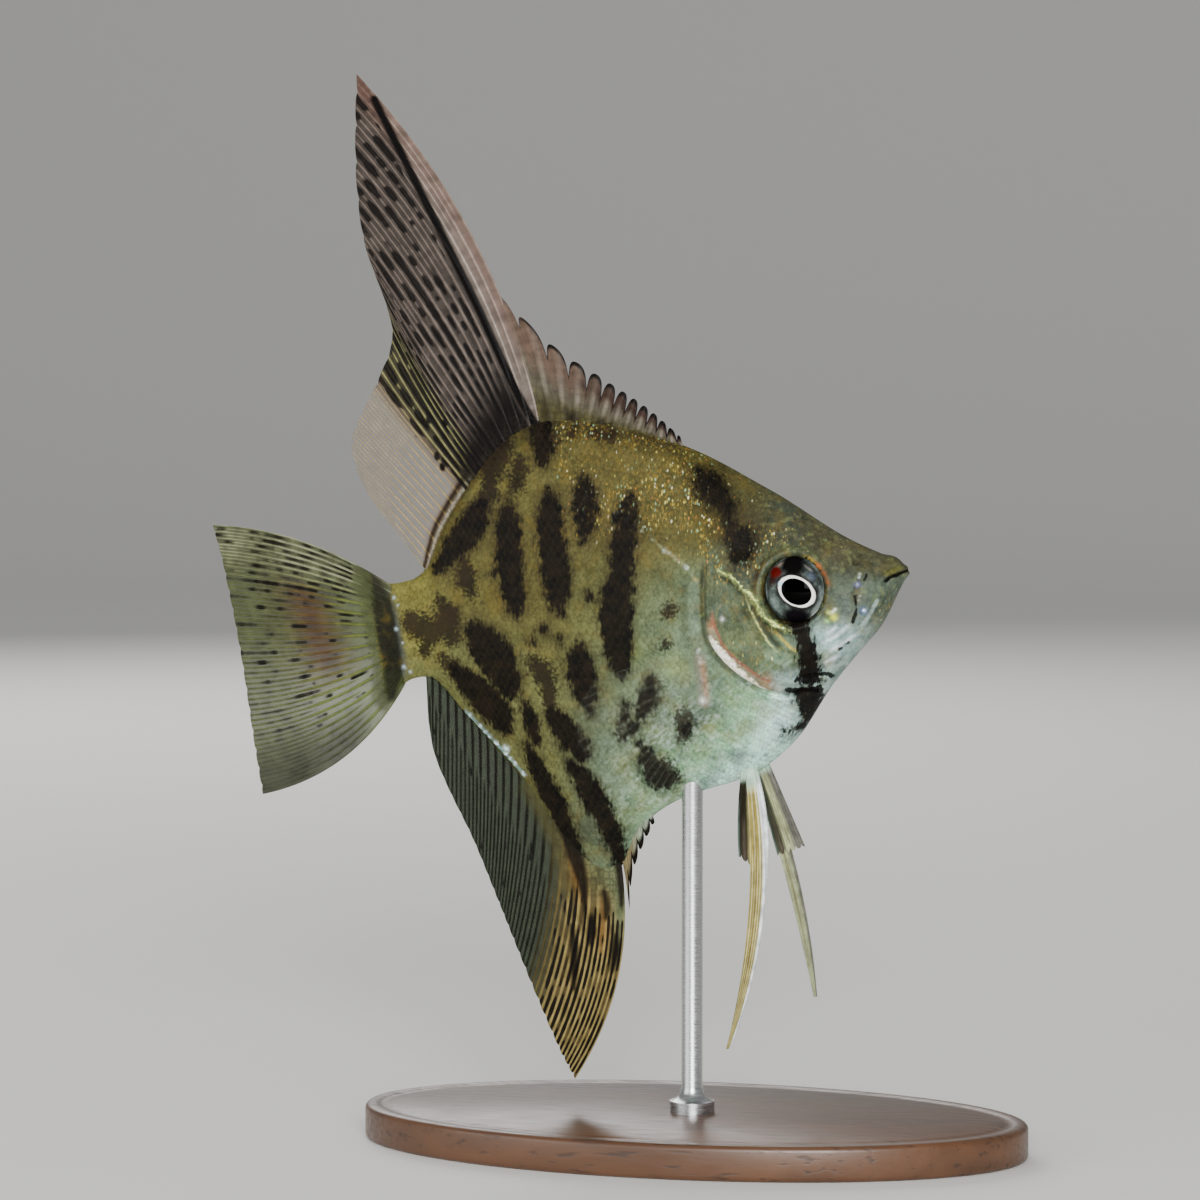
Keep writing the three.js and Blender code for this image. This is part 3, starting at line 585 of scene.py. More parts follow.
    # Small bright patches: gold under the eye, blue-white pores, pink at the breast fin, and painted glints on
    # beads along the lateral line and on the belly's edge.
    spot("26332a", 64.5, -4.5, 1.5, 0.8)
    for code, px, pz, size in [
        ("dce83c", 64.9, -4.75, 0.46), ("cfe07c", 64.3, -3.95, 0.34), ("9fd07c", 63.9, -5.1, 0.32),
        ("f2f2c8", 64.8, -4.0, 0.22), ("dfeccf", 65.2, -3.7, 0.25), ("3f4f9c", 68.6, -0.7, 0.4),
        ("f0f4ff", 68.6, -0.65, 0.17), ("c0c8d0", 68.9, 0.3, 0.17), ("c0c8d0", 69.05, 0.75, 0.15),
        ("3b62a8", 68.9, -4.4, 0.4), ("f4ffff", 68.95, -4.35, 0.19), ("b4bcb4", 68.7, -2.3, 0.18),
        ("9aa29a", 68.5, -2.8, 0.16), ("dde6d8", 45.5, -7.0, 0.3), ("e4e8e0", 45.8, -8.6, 0.28),
        ("e9efe6", 49.6, -3.0, 0.3), ("b08660", 43.4, 6.6, 0.18), ("a9bdb2", 42.3, 7.5, 0.26),
        ("cfdcd8", 42.8, 7.1, 0.15), ("9fb4aa", 45.1, 4.9, 0.28), ("d4e2e0", 45.3, 4.6, 0.15),
        ("b09a58", 46.4, 2.9, 0.24), ("98a488", 39.2, 10.6, 0.2), ("98a488", 40.6, 9.3, 0.16),
        ("8a9676", 43.7, 6.1, 0.2), ("e4fcff", 14.2, -17.7, 0.42),
    ]:
        spot(code, px, pz, size)
    gap, part, hand = from_line(LATERAL_LINE, x, z, 30)
    lay("7d8868", 0.4 * hump(gap, 0.18) * fade(0.42, 0.3, part))
    streak = mark([(70.9, -3.2, 0.1), (69.6, -5.0, 0.12), (68.2, -6.5, 0.1)], x, z)
    lay("93a6a4", 0.6 * fade(0.2, 0.05, streak))
    gap, part, hand = from_line(FIN_LOBE, x, z)
    lay("857a6e", 0.7 * hump(gap, 0.8) * tapered(part, 0.1, 0.9))
    lay("a8704f", 0.6 * hump(gap * hand - 0.5, 0.3) * fade(0.1, 0.3, part) * fade(1.0, 0.8, part))
    spot("e4e8e0", 45.1, -14.0, 0.5)
    # The dark band across the root of the tail, slate towards the body, with bluish white dots.
    band = mark(TAIL_BAND, x, z)
    lay("121311", 0.95 * fade(0.5, -0.7, band))
    lay("3a424a", 0.5 * hump(band + 0.1, 0.5) * fade(-0.6, 0.6, x))
    for px, pz, size in [
        (0.3, 5.7, 0.22), (0.9, 4.6, 0.16), (0.2, 1.2, 0.26), (1.0, -0.9, 0.14), (0.5, -4.4, 0.28),
        (1.3, -5.2, 0.2),
    ]:
        spot("a9bcc4", px, pz, size)
    # A row of blue-white beads along the root of the anal fin, painted as glints, and a pale line that joins
    # them.
    gap, part, hand = from_line(BEAD_LINE, x, z)
    ends = tapered(part, 0.06, 0.94)
    lay("6f9aa4", 0.75 * hump(gap, 0.22) * ends)
    lay("dff4fa", hump(gap, 0.3) * fade(0.35, 0.9, np.sin(part * 62 + 2 * np.sin(part * 17))) * ends)
    return paint


def glint_cover(x, z):
    """Where the iridescent flecks lie: the shoulder, round the nape patch, the lateral line."""
    rise = rise_at(x, z)
    shoulder = fade(0.3, 0.7, rise) * fade(25, 30, x) * fade(52, 46, x)
    temple = 1.3 * hump(np.hypot(x - 53.4, z - 5.6), 3.8) + hump(np.hypot(x - 48.2, (z - 9.5) * 0.6), 2.6)
    temple += 1.3 * hump(np.hypot(x - 56.8, z - 7.3), 2.0) + hump(np.hypot(x - 50.8, z - 3.2), 2.2)
    gap, part, hand = from_line(LATERAL_LINE, x, z, 30)
    beads = 0.6 * hump(gap, 0.7) * fade(0.6, 0.3, part)
    belly = 0.35 * fade(-0.3, -0.7, rise) * fade(30, 40, x)
    gap, part, hand = from_line(BELLY[4:7], x, z)
    edge = 0.6 * hump(gap, 0.8) * fade(9, 11, x) * fade(19, 17, x)
    gap, part, hand = from_line(ORBIT_FOLD, x, z)
    fold = 0.7 * hump(gap, 0.7)
    gap, part, hand = from_line(GILL_LINE, x, z, 40)
    cheek = 0.42 * fade(0.4, 1.6, gap * hand) * fade(61, 57, x) * fade(3.5, 1.0, z)
    crown = 0.3 * fade(1.5, 6, z) * fade(47, 52, x)
    covers = [shoulder, np.minimum(temple, 1.4), cheek, crown, beads, belly, edge, fold]
    return np.clip(np.max(covers, axis=0), 0, 1.2)


def smoke_gap(x, z):
    """Distance outside the nearest soft brown mark, in millimetres."""
    return np.clip(np.min([mark(points, x, z) for points in SOFT_MARKS], axis=0), -2, 4)


def gill_margin(x, z):
    """Four numbers for the gill cover's soft margin: white with a painted highlight on its glossy membrane,
    widest low down, with a red line inside it.

    Millimetres inside the margin's edge, millimetres left to its inner side, millimetres off
    the red line, and how strong it is.
    """
    gap, part, hand = from_line(GILL_LINE, x, z, 40)
    ahead = np.clip(gap * hand, -3, 6)
    room = 0.2 + 0.95 * hump(z + 8.2, 3.4) - ahead
    red = ahead - 1.55 + 0.5 * fade(-6, -1, z)
    strength = fade(-4.8, -6.2, z) * fade(55.4, 52.6, x) + 0.25 * fade(-1.0, -3.0, z) * fade(55.8, 53.2, x)
    return np.stack([ahead, room, red, np.clip(strength, 0, 1)], axis=-1)


def fold_lines(x, z):
    """Millimetres off the three bright folds behind the eye, and how far along each: two rows of three."""
    found = [from_line(line, x, z) for line in (ORBIT_FOLD, CHEEK_FOLD, UNDER_FOLD)]
    aside = np.stack([np.clip(gap * hand, -2, 2) for gap, part, hand in found], axis=-1)
    return aside, np.stack([part for gap, part, hand in found], axis=-1)


def softness(x, z):
    """How blurred the marks' edges are: crisp on the cheek, soft on the nape."""
    nape = hump(np.hypot((x - 50.5) * 0.8, (z - 11) * 0.7), 6.0)
    return 1 + 1.3 * nape - 0.45 * fade(57, 60, x)


def silver_cover(x, z):
    """Where the skin is foil-bright: the belly, the breast, the cheek and the gill margin."""
    rise = rise_at(x, z)
    low = fade(-0.15, -0.7, rise) * fade(26, 38, x) * fade(69, 65, x)
    cheek = hump(np.hypot((x - 65.3) * 0.62, z + 8.4), 2.6)
    return np.clip(np.maximum(low, cheek), 0, 1)


def store(mesh, name, values):
    """Keeps one number or one colour for every point of the mesh."""
    values = np.asarray(values, np.float32)
    if values.ndim == 1:
        mesh.attributes.new(name, "FLOAT", "POINT").data.foreach_set("value", values)
    else:
        full = np.ones((len(values), 4), np.float32)
        full[:, :values.shape[1]] = values
        mesh.attributes.new(name, "FLOAT_COLOR", "POINT").data.foreach_set("color", full.ravel())


def store_shared(mesh, x, z):
    """Keeps what the skin and the scales have from the same functions at the same places."""
    store(mesh, "glint", glint_cover(x, z))
    store(mesh, "silver", silver_cover(x, z))
    store(mesh, "soft", softness(x, z))
    store(mesh, "line_gap", line_gap(x, z))
    store(mesh, "smoke_gap", smoke_gap(x, z))


def points_of(mesh):
    """The mesh's points, one row each."""
    points = np.empty(3 * len(mesh.vertices), np.float32)
    mesh.vertices.foreach_get("co", points)
    return points.reshape(-1, 3).astype(float)


def shape(piece, points):
    """Moves the piece's points to these places, in metres."""
    piece.data.vertices.foreach_set("co", points.astype(np.float32).ravel())
    piece.data.update()


def outward(piece):
    """Joins doubled points and turns every face of a closed piece outwards."""
    pick(piece)
    bpy.ops.object.mode_set(mode="EDIT")
    bpy.ops.mesh.select_all(action="SELECT")
    bpy.ops.mesh.remove_doubles(threshold=1e-7)
    bpy.ops.mesh.normals_make_consistent(inside=False)
    bpy.ops.object.mode_set(mode="OBJECT")


SCALE_DEPTH, NAKED_DEPTH = 0.14, 0.03    # how far the skin lies under the plain body, with scales and without

deselect()
bpy.ops.mesh.primitive_uv_sphere_add(segments=320, ring_count=298, radius=1, location=(0, 0, 0))
skin = added("skin")
ball = points_of(skin.data)
run = np.arccos(np.clip(ball[:, 2], -1, 1)) / math.pi
turn = np.arctan2(ball[:, 1], ball[:, 0])
station = along([
    (0, 75.3), (0.012, 75.1), (0.05, 74.0), (0.30, 61.0), (0.52, 47.5), (0.60, 43.5), (1, -3.6),
], run)
quarter = np.arcsin(np.clip(np.sin(turn), -1, 1)) / (math.pi / 2)
rise = np.clip(0.6 * quarter + 0.4 * np.sin(turn), -1, 1)
side = np.where(np.cos(turn) >= 0, 1.0, -1.0)
# Points near the socket's edge move onto it, so that it is a clean curve.
z = level_at(station, rise)
ring = from_eye(station, z)
for edge in (SOCKET_EDGE, SOCKET_WALL):
    near = np.abs(ring - edge) < 0.13
    pull = np.where(near, edge / np.maximum(ring, 0.1), 1)
    station = EYE_X + (station - EYE_X) * pull
    z = EYE_Z + (z - EYE_Z) * pull
    ring = from_eye(station, z)
rise = rise_at(station, z)
poles = np.minimum(fade(0, 0.006, run), fade(1, 0.994, run))
level = along(THICKEST_LEVEL, station)
z = level + (z - level) * poles
y = side * half_width_at(station, rise) * poles + tail_swing(station)
shape(skin, in_place(station, y, z))
outward(skin)
points = points_of(skin.data)
x, y, z = in_fish(points)
side = np.where(y - tail_swing(x) >= 0, 1.0, -1.0)
normals = np.empty(points.size, np.float32)
skin.data.vertices.foreach_get("normal", normals)
normals = normals.reshape(-1, 3).astype(float)


def coat_depth(x):
    """How far the skin lies in, so that the scales finish flush with the plain body."""
    return NAKED_DEPTH + (SCALE_DEPTH - NAKED_DEPTH) * fade(60, 54, x)


flat_enough = fade(0.0, 0.5, np.abs(y - tail_swing(x)))
out = moulding(x, z) * flat_enough - coat_depth(x)
points += normals * out[:, None] / 1000
shape(skin, points)
store(skin.data, "ground", skin_paint(x, z))
store(skin.data, "ink_gap", ink_gap(x, z, side))
store_shared(skin.data, x, z)
store(skin.data, "gill", gill_margin(x, z))
aside, part = fold_lines(x, z)
store(skin.data, "fold_aside", aside)
store(skin.data, "fold_part", part)
pick(skin)
bpy.ops.object.shade_smooth()


def washed(tree, paint, code, source, start, full, most, *factors, **settings):
    """The paint with a colour washed over it: none where the source is at start, the most where full."""
    cover = node(tree, "MapRange", {0: source, 1: start, 2: full, 4: most}, **settings)
    for factor in factors:
        cover = node(tree, "Math", {0: cover, 1: factor}, operation="MULTIPLY")
    return node(tree, "Mix", {0: cover, 6: paint, 7: code}, data_type="RGBA")


def airbrushed(name, scaly):
    """Airbrushed resin under satin lacquer: mottled colour, ragged black marks, bright flecks painted as
    glints.

    The same paint goes on the skin and on the scales; a scale also has a dark free edge, painted shade where it
    lies over the next one.
    """
    material, tree = finish_of(name)
    place = node(tree, "TexCoord").outputs["Object"]
    ground = node(tree, "Attribute", attribute_name="ground").outputs["Color"]
    gap, glint, silver, smoke, soft, line = [
        node(tree, "Attribute", attribute_name=kept).outputs["Fac"]
        for kept in ("ink_gap", "glint", "silver", "smoke_gap", "soft", "line_gap")]
    # Noises of several grains, from clouds a few millimetres across to a stipple of about 0.4 mm.
    patch, cloud, drift, flake, broad, pebble, stipple = [
        node(tree, "TexNoise", {"Vector": place, "Scale": scale, "Detail": detail})
        for scale, detail in [(170, 2), (260, 3), (330, 4), (700, 4), (700, 2), (1500, 3), (2200, 2)]]
    mottle = node(tree, "Math", {0: cloud, 1: stipple}, operation="ADD")
    value = node(tree, "MapRange", {0: mottle, 1: 0.7, 2: 1.3, 3: 0.62, 4: 1.38})
    paint = node(tree, "HueSaturation", {"Color": ground, "Value": value})
    warm = node(tree, "TexNoise", {"Vector": place, "W": 3, "Scale": 420, "Detail": 3}, noise_dimensions="4D")
    plain = node(tree, "MapRange", {0: silver, 2: 0.8, 3: 1, 4: 0.25})
    paint = washed(tree, paint, "6a5a24", warm, 0.5, 0.72, 0.4, plain)
    # Silver is laid in cloudy flakes and slanting hairlines, milky and a little green.
    slant = node(tree, "VectorRotate", {"Vector": place, "Angle": math.radians(40)}, rotation_type="Y_AXIS")
    slant = node(tree, "Mapping", {"Vector": slant, "Scale": (0.22, 1, 1)})
    hair = node(tree, "TexNoise", {"Vector": slant, "Scale": 2400, "Detail": 3})
    flake = node(tree, "Math", {0: hair, 1: 0.8, 2: flake}, operation="MULTIPLY_ADD")
    paint = washed(tree, paint, "c9dccf", flake, 0.86, 1.14, 0.5, silver)
    # Slate-blue shadows and straw-yellow clouds drift through the silver.
    paint = washed(tree, paint, "3f4c4c", drift, 0.50, 0.68, 0.5, silver)
    paint = washed(tree, paint, "8b8a4c", drift, 0.46, 0.30, 0.45, silver)
    # Gold dust, in short upright strokes, where the flecks are.
    upright = node(tree, "Mapping", {"Vector": place, "Scale": (1, 1, 0.45)})
    dust = node(tree, "TexNoise", {"Vector": upright, "Scale": 3000, "Detail": 2})
    patch = node(tree, "MapRange", {0: patch, 1: 0.40, 2: 0.58, 3: 0.45})
    glint = node(tree, "Math", {0: glint, 1: patch}, operation="MULTIPLY")
    paint = washed(tree, paint, "8f7430", dust, 0.52, 0.70, 0.6, glint)
    if not scaly:
        # Fine grey-green grime and yellow-green specks break the bare skin of the head.
        grime = node(tree, "TexNoise", {"Vector": place, "Scale": 950, "Detail": 5, "Roughness": 0.65})
        paint = washed(tree, paint, "282c20", grime, 0.50, 0.66, 0.5, plain)
        paint = washed(tree, paint, "76804c", grime, 0.46, 0.32, 0.4, plain)
        # The gill cover's margin, white with a painted highlight on its glossy membrane, with a red line inside
        # it, laid on with a fine brush.
        margin = node(tree, "Attribute", attribute_name="gill")
        inside = node(tree, "SeparateColor", {0: margin.outputs["Color"]}).outputs
        waver = node(tree, "TexNoise", {"Vector": place, "Scale": 1400, "Detail": 3})
        waver = node(tree, "MapRange", {0: waver, 1: 0.3, 2: 0.7, 3: -0.3, 4: 0.3})
        room = node(tree, "Math", {0: waver, 1: inside[1]}, operation="ADD")
        room = node(tree, "MapRange", {0: room, 1: -0.15, 2: 0.2})
        strong = node(tree, "MapRange", {0: margin.outputs["Alpha"], 1: 0.3})
        # The white, with a painted highlight on the gloss, in a stipple from cream to near white.
        margin_white_and_highlight = node(tree, "MapRange", {0: stipple, 1: 0.36, 2: 0.6})
        margin_white_and_highlight = node(tree, "Mix", {0: margin_white_and_highlight, 6: "cfcba6", 7: "fffaf0"}, data_type="RGBA")
        paint = washed(tree, paint, margin_white_and_highlight, inside[0], -0.1, 0.06, 1, room, strong)
        red = node(tree, "Math", {0: waver, 1: 0.5, 2: inside[2]}, operation="MULTIPLY_ADD")
        red = node(tree, "Math", {0: red}, operation="ABSOLUTE")
        strong = node(tree, "MapRange", {0: margin.outputs["Alpha"], 1: 0.02, 2: 0.25})
        paint = washed(tree, paint, "8f5546", red, 0.32, 0.04, 0.75, strong)
        # The bright folds behind the eye, each beaded and tapering at both ends; the first is an olive band
        # with a painted highlight along its crest.
        aside, part = [
            node(tree, "SeparateColor", {0: node(tree, "Attribute", attribute_name=kept).outputs[0]}).outputs
            for kept in ("fold_aside", "fold_part")]
        for number, code, half, away, least, sway, starts, stops in [
            (0, "76834a", 0.66, -0.12, 0.55, 0.6, 0.12, 0.88), (0, "dcec8c", 0.30, -0.1, 0.1, 0.9, 0.08, 0.92),
            (1, "b6be74", 0.22, 0.0, 0.35, 0.4, 0.45, 0.75), (2, "b8a63c", 0.36, 0.0, 0.5, 0.5, 0.5, 0.92),
        ]:
            off = node(tree, "Math", {0: waver, 1: sway, 2: aside[number]}, operation="MULTIPLY_ADD")
            off = node(tree, "Math", {0: off, 1: away}, operation="SUBTRACT")
            off = node(tree, "Math", {0: off}, operation="ABSOLUTE")
            begun = node(tree, "MapRange", {0: part[number], 2: starts})
            ended = node(tree, "MapRange", {0: part[number], 1: 1, 2: stops})
            beaded = node(tree, "MapRange", {0: stipple, 1: 0.40, 2: 0.58, 3: least})
            paint = washed(tree, paint, code, off, half, half * 0.2, 1, begun, ended, beaded)
    # Soft brown marks, airbrushed in a mist of fine drops.
    mist = node(tree, "MapRange", {0: mottle, 1: 0.7, 2: 1.3, 3: -1})
    smoke = node(tree, "Math", {0: smoke, 1: mist}, operation="ADD")
    brown = node(tree, "MapRange", {0: cloud, 1: 0.4, 2: 0.62})
    brown = node(tree, "Mix", {0: brown, 6: "231a13", 7: "0d0a09"}, data_type="RGBA")
    paint = washed(tree, paint, brown, smoke, 0.9, -0.7, 0.9, interpolation_type="SMOOTHSTEP")
    # Black marks with hair-fine ends drawn out up and down: the jitter is stretched along the height.
    stretched = node(tree, "Mapping", {"Vector": place, "Scale": (1, 1, 0.35)})
    ragged = node(tree, "TexNoise", {"Vector": stretched, "Scale": 2600, "Detail": 3})
    jitter = node(tree, "MapRange", {0: ragged, 1: 0.25, 2: 0.75, 3: -0.6, 4: 0.6})
    lobes = node(tree, "MapRange", {0: broad, 1: 0.3, 2: 0.7, 3: -0.35, 4: 0.35})
    jitter = node(tree, "Math", {0: jitter, 1: lobes}, operation="ADD")
    edge = node(tree, "Math", {0: gap, 1: jitter}, operation="ADD")
    edge = node(tree, "Math", {0: edge, 1: soft}, operation="DIVIDE")
    # A brown shade surrounds each mark, and brown shows through its black.
    paint = washed(tree, paint, "30261a", edge, 1.5, 0.2, 0.42)
    black = node(tree, "MapRange", {0: broad, 1: 0.35, 2: 0.7})
    black = node(tree, "Mix", {0: black, 6: "070606", 7: "1a130d"}, data_type="RGBA")
    ink = node(tree, "MapRange", {0: edge, 1: 0.5, 2: -0.5, 4: 0.98}, interpolation_type="SMOOTHSTEP")
    paint = node(tree, "Mix", {0: ink, 6: paint, 7: black}, data_type="RGBA")
    # The head's fine lines are crisp.
    line = node(tree, "Math", {0: jitter, 1: 0.22, 2: line}, operation="MULTIPLY_ADD")
    paint = washed(tree, paint, "0a0807", line, 0.08, -0.08, 0.94)
    # Painted glints: flecks about 0.25 mm across, one in several bright: gold, orange, white and green; few on
    # the black.
    cells = node(tree, "TexVoronoi", {"Vector": upright, "Scale": 3700})
    lot = node(tree, "SeparateColor", {0: cells.outputs["Color"]}).outputs
    chance = node(tree, "MapRange", {0: glint, 2: 1.2, 3: 1, 4: 0.66})
    fleck = node(tree, "MapRange", {0: lot[0], 1: chance})
    disc = node(tree, "MapRange", {0: cells.outputs["Distance"], 1: 0.6, 2: 0.25})
    bare = node(tree, "MapRange", {0: ink, 3: 1, 4: 0.12})
    for factor, held in [(disc, False), (2, True), (glint, True), (bare, False)]:
        fleck = node(tree, "Math", {0: fleck, 1: factor}, operation="MULTIPLY", use_clamp=held)
    hues = node(tree, "ValToRGB", {0: lot[1]})
    hues.color_ramp.interpolation = "CONSTANT"
    stops = hues.color_ramp.elements
    steps = [(0.0, "a08a3e"), (0.34, "b6b060"), (0.63, "b07a42"), (0.68, "e6e2b8"), (0.80, "8fb48c")]
    for position, code in steps[1:]:
        stops.new(position)
    stops.remove(stops[-1])
    for stop, (position, code) in zip(stops, steps):
        stop.position = position
        stop.color = [*linear(code), 1]
    paint = node(tree, "Mix", {0: fleck, 6: paint, 7: hues}, data_type="RGBA")
    if scaly:
        # Painted shade along each scale's free edge, where it lies over the next one.
        rim = node(tree, "Attribute", attribute_name="rim").outputs["Fac"]
        paint = washed(tree, paint, "2c2a18", rim, 0.45, 1, 0.34)
    metal = node(tree, "Math", {0: silver, 1: 0.30}, operation="MULTIPLY")
    metal = node(tree, "Math", {0: fleck, 1: 0.5, 2: metal}, operation="MULTIPLY_ADD", use_clamp=True)
    rough = node(tree, "MapRange", {0: stipple, 1: 0.3, 2: 0.7, 3: 0.34, 4: 0.52})
    rough = node(tree, "Math", {0: fleck, 1: -0.15, 2: rough}, operation="MULTIPLY_ADD")
    bump = node(tree, "Bump", {"Height": pebble, "Strength": 0.35, "Distance": 0.00012})
    surface = node(tree, "BsdfPrincipled", {
        "Base Color": paint, "Metallic": metal, "Roughness": rough, "Normal": bump,
        "IOR": 1.46, "Specular IOR Level": 0.07,
    })
    node(tree, "OutputMaterial", {"Surface": surface})
    return material


wear(skin, airbrushed("airbrushed_resin_skin", scaly=False))
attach(skin, "root")
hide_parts("head", "upper_jaw", "lower_jaw", "trunk", "tail_stem", "gill_cover_right", "gill_cover_left")


# ---------------------------------------------------------------- the scales
# Thin lens-shaped scales, rooted in front and free behind, overlap in staggered rows that
# run with the body. They shrink towards the tail, the nape and the cheek. One coat for
# each side, each scale a closed shell, painted with the skin.
def flank_table():
    """Distance round the body's side from its thickest level, for stations and rises."""
    stations = np.linspace(-3.6, 74.0, 311)
    rises = np.sin(np.linspace(-1, 1, 241) * math.pi / 2)
    grid_x, grid_r = np.meshgrid(stations, rises, indexing="ij")
    level = level_at(grid_x, grid_r)
    half = half_width_at(grid_x, grid_r)
    steps = np.hypot(np.diff(level, axis=1), np.diff(half, axis=1))
    girth = np.concatenate([np.zeros((len(stations), 1)), np.cumsum(steps, axis=1)], axis=1)
    girth -= girth[:, [len(rises) // 2]]
    return stations, rises, girth


stations, rises, girth = flank_table()


def rise_from_girth(x, around):
    """How far up the body a place is, from its distance round the side."""
    i = np.clip(np.searchsorted(stations, x) - 1, 0, len(stations) - 2)
    t = np.clip((x - stations[i]) / (stations[1] - stations[0]), 0, 1)[..., None]
    rows = girth[i] * (1 - t) + girth[i + 1] * t
    count = (rows < np.asarray(around)[..., None]).sum(axis=-1)
    k = np.clip(count - 1, 0, len(rises) - 2)
    low = np.take_along_axis(rows, k[..., None], axis=-1)[..., 0]
    high = np.take_along_axis(rows, k[..., None] + 1, axis=-1)[..., 0]
    part = np.clip((around - low) / np.maximum(high - low, 1e-6), 0, 1)
    return rises[k] * (1 - part) + rises[k + 1] * part


def flank_normal(x, z):
    """Outward direction on the right flank with y turned to point out, from the body's slopes."""
    step = 0.15
    rise = rise_at(x, z)
    z = level_at(x, np.clip(rise, -0.985, 0.985))
    def y_at(px, pz):
        return half_width_at(px, np.clip(rise_at(px, pz), -0.9995, 0.9995))
    slope_x = (y_at(x + step, z) - y_at(x - step, z)) / (2 * step)
    slope_z = (y_at(x, z + step) - y_at(x, z - step)) / (2 * step)
    normal = np.stack([-slope_x, np.ones(np.shape(x)), -slope_z], axis=-1)
    return normal / np.linalg.norm(normal, axis=-1, keepdims=True)


PITCH = [
    (-3.5, 0.62), (0, 0.75), (8, 0.92), (18, 1.05), (34, 1.12), (44, 1.02), (50, 0.84), (56, 0.68), (62, 0.6),
    (70, 0.55),
]
ROW_SPACING, SCALE_LENGTH, SCALE_WIDTH = 0.80, 1.75, 1.02    # of the pitch
SCALE_THICKNESS = 0.04    # millimetres, on a scale of full size


def scale_roots():
    """Station, distance round and pitch of every scale on one side."""
    fine = np.linspace(-3.4, 70, 1501)
    # The scales of a row, counted from the tail up to each station.
    count = np.concatenate([[0], np.cumsum(1 / along(PITCH, (fine[1:] + fine[:-1]) / 2) * np.diff(fine))])
    rng = np.random.default_rng(11)
    roots = []
    for row in range(-64, 65):
        offset = 0.5 * (row % 2)
        x = np.interp(np.arange(1, int(count[-1])) + offset, count, fine)
        pitch = along(PITCH, x)
        x = x + rng.normal(0, 0.035, x.shape) * pitch
        around = row * ROW_SPACING * pitch + rng.normal(0, 0.02, x.shape) * pitch
        roots.append(np.stack([x, around, pitch], axis=1))
    return np.concatenate(roots)


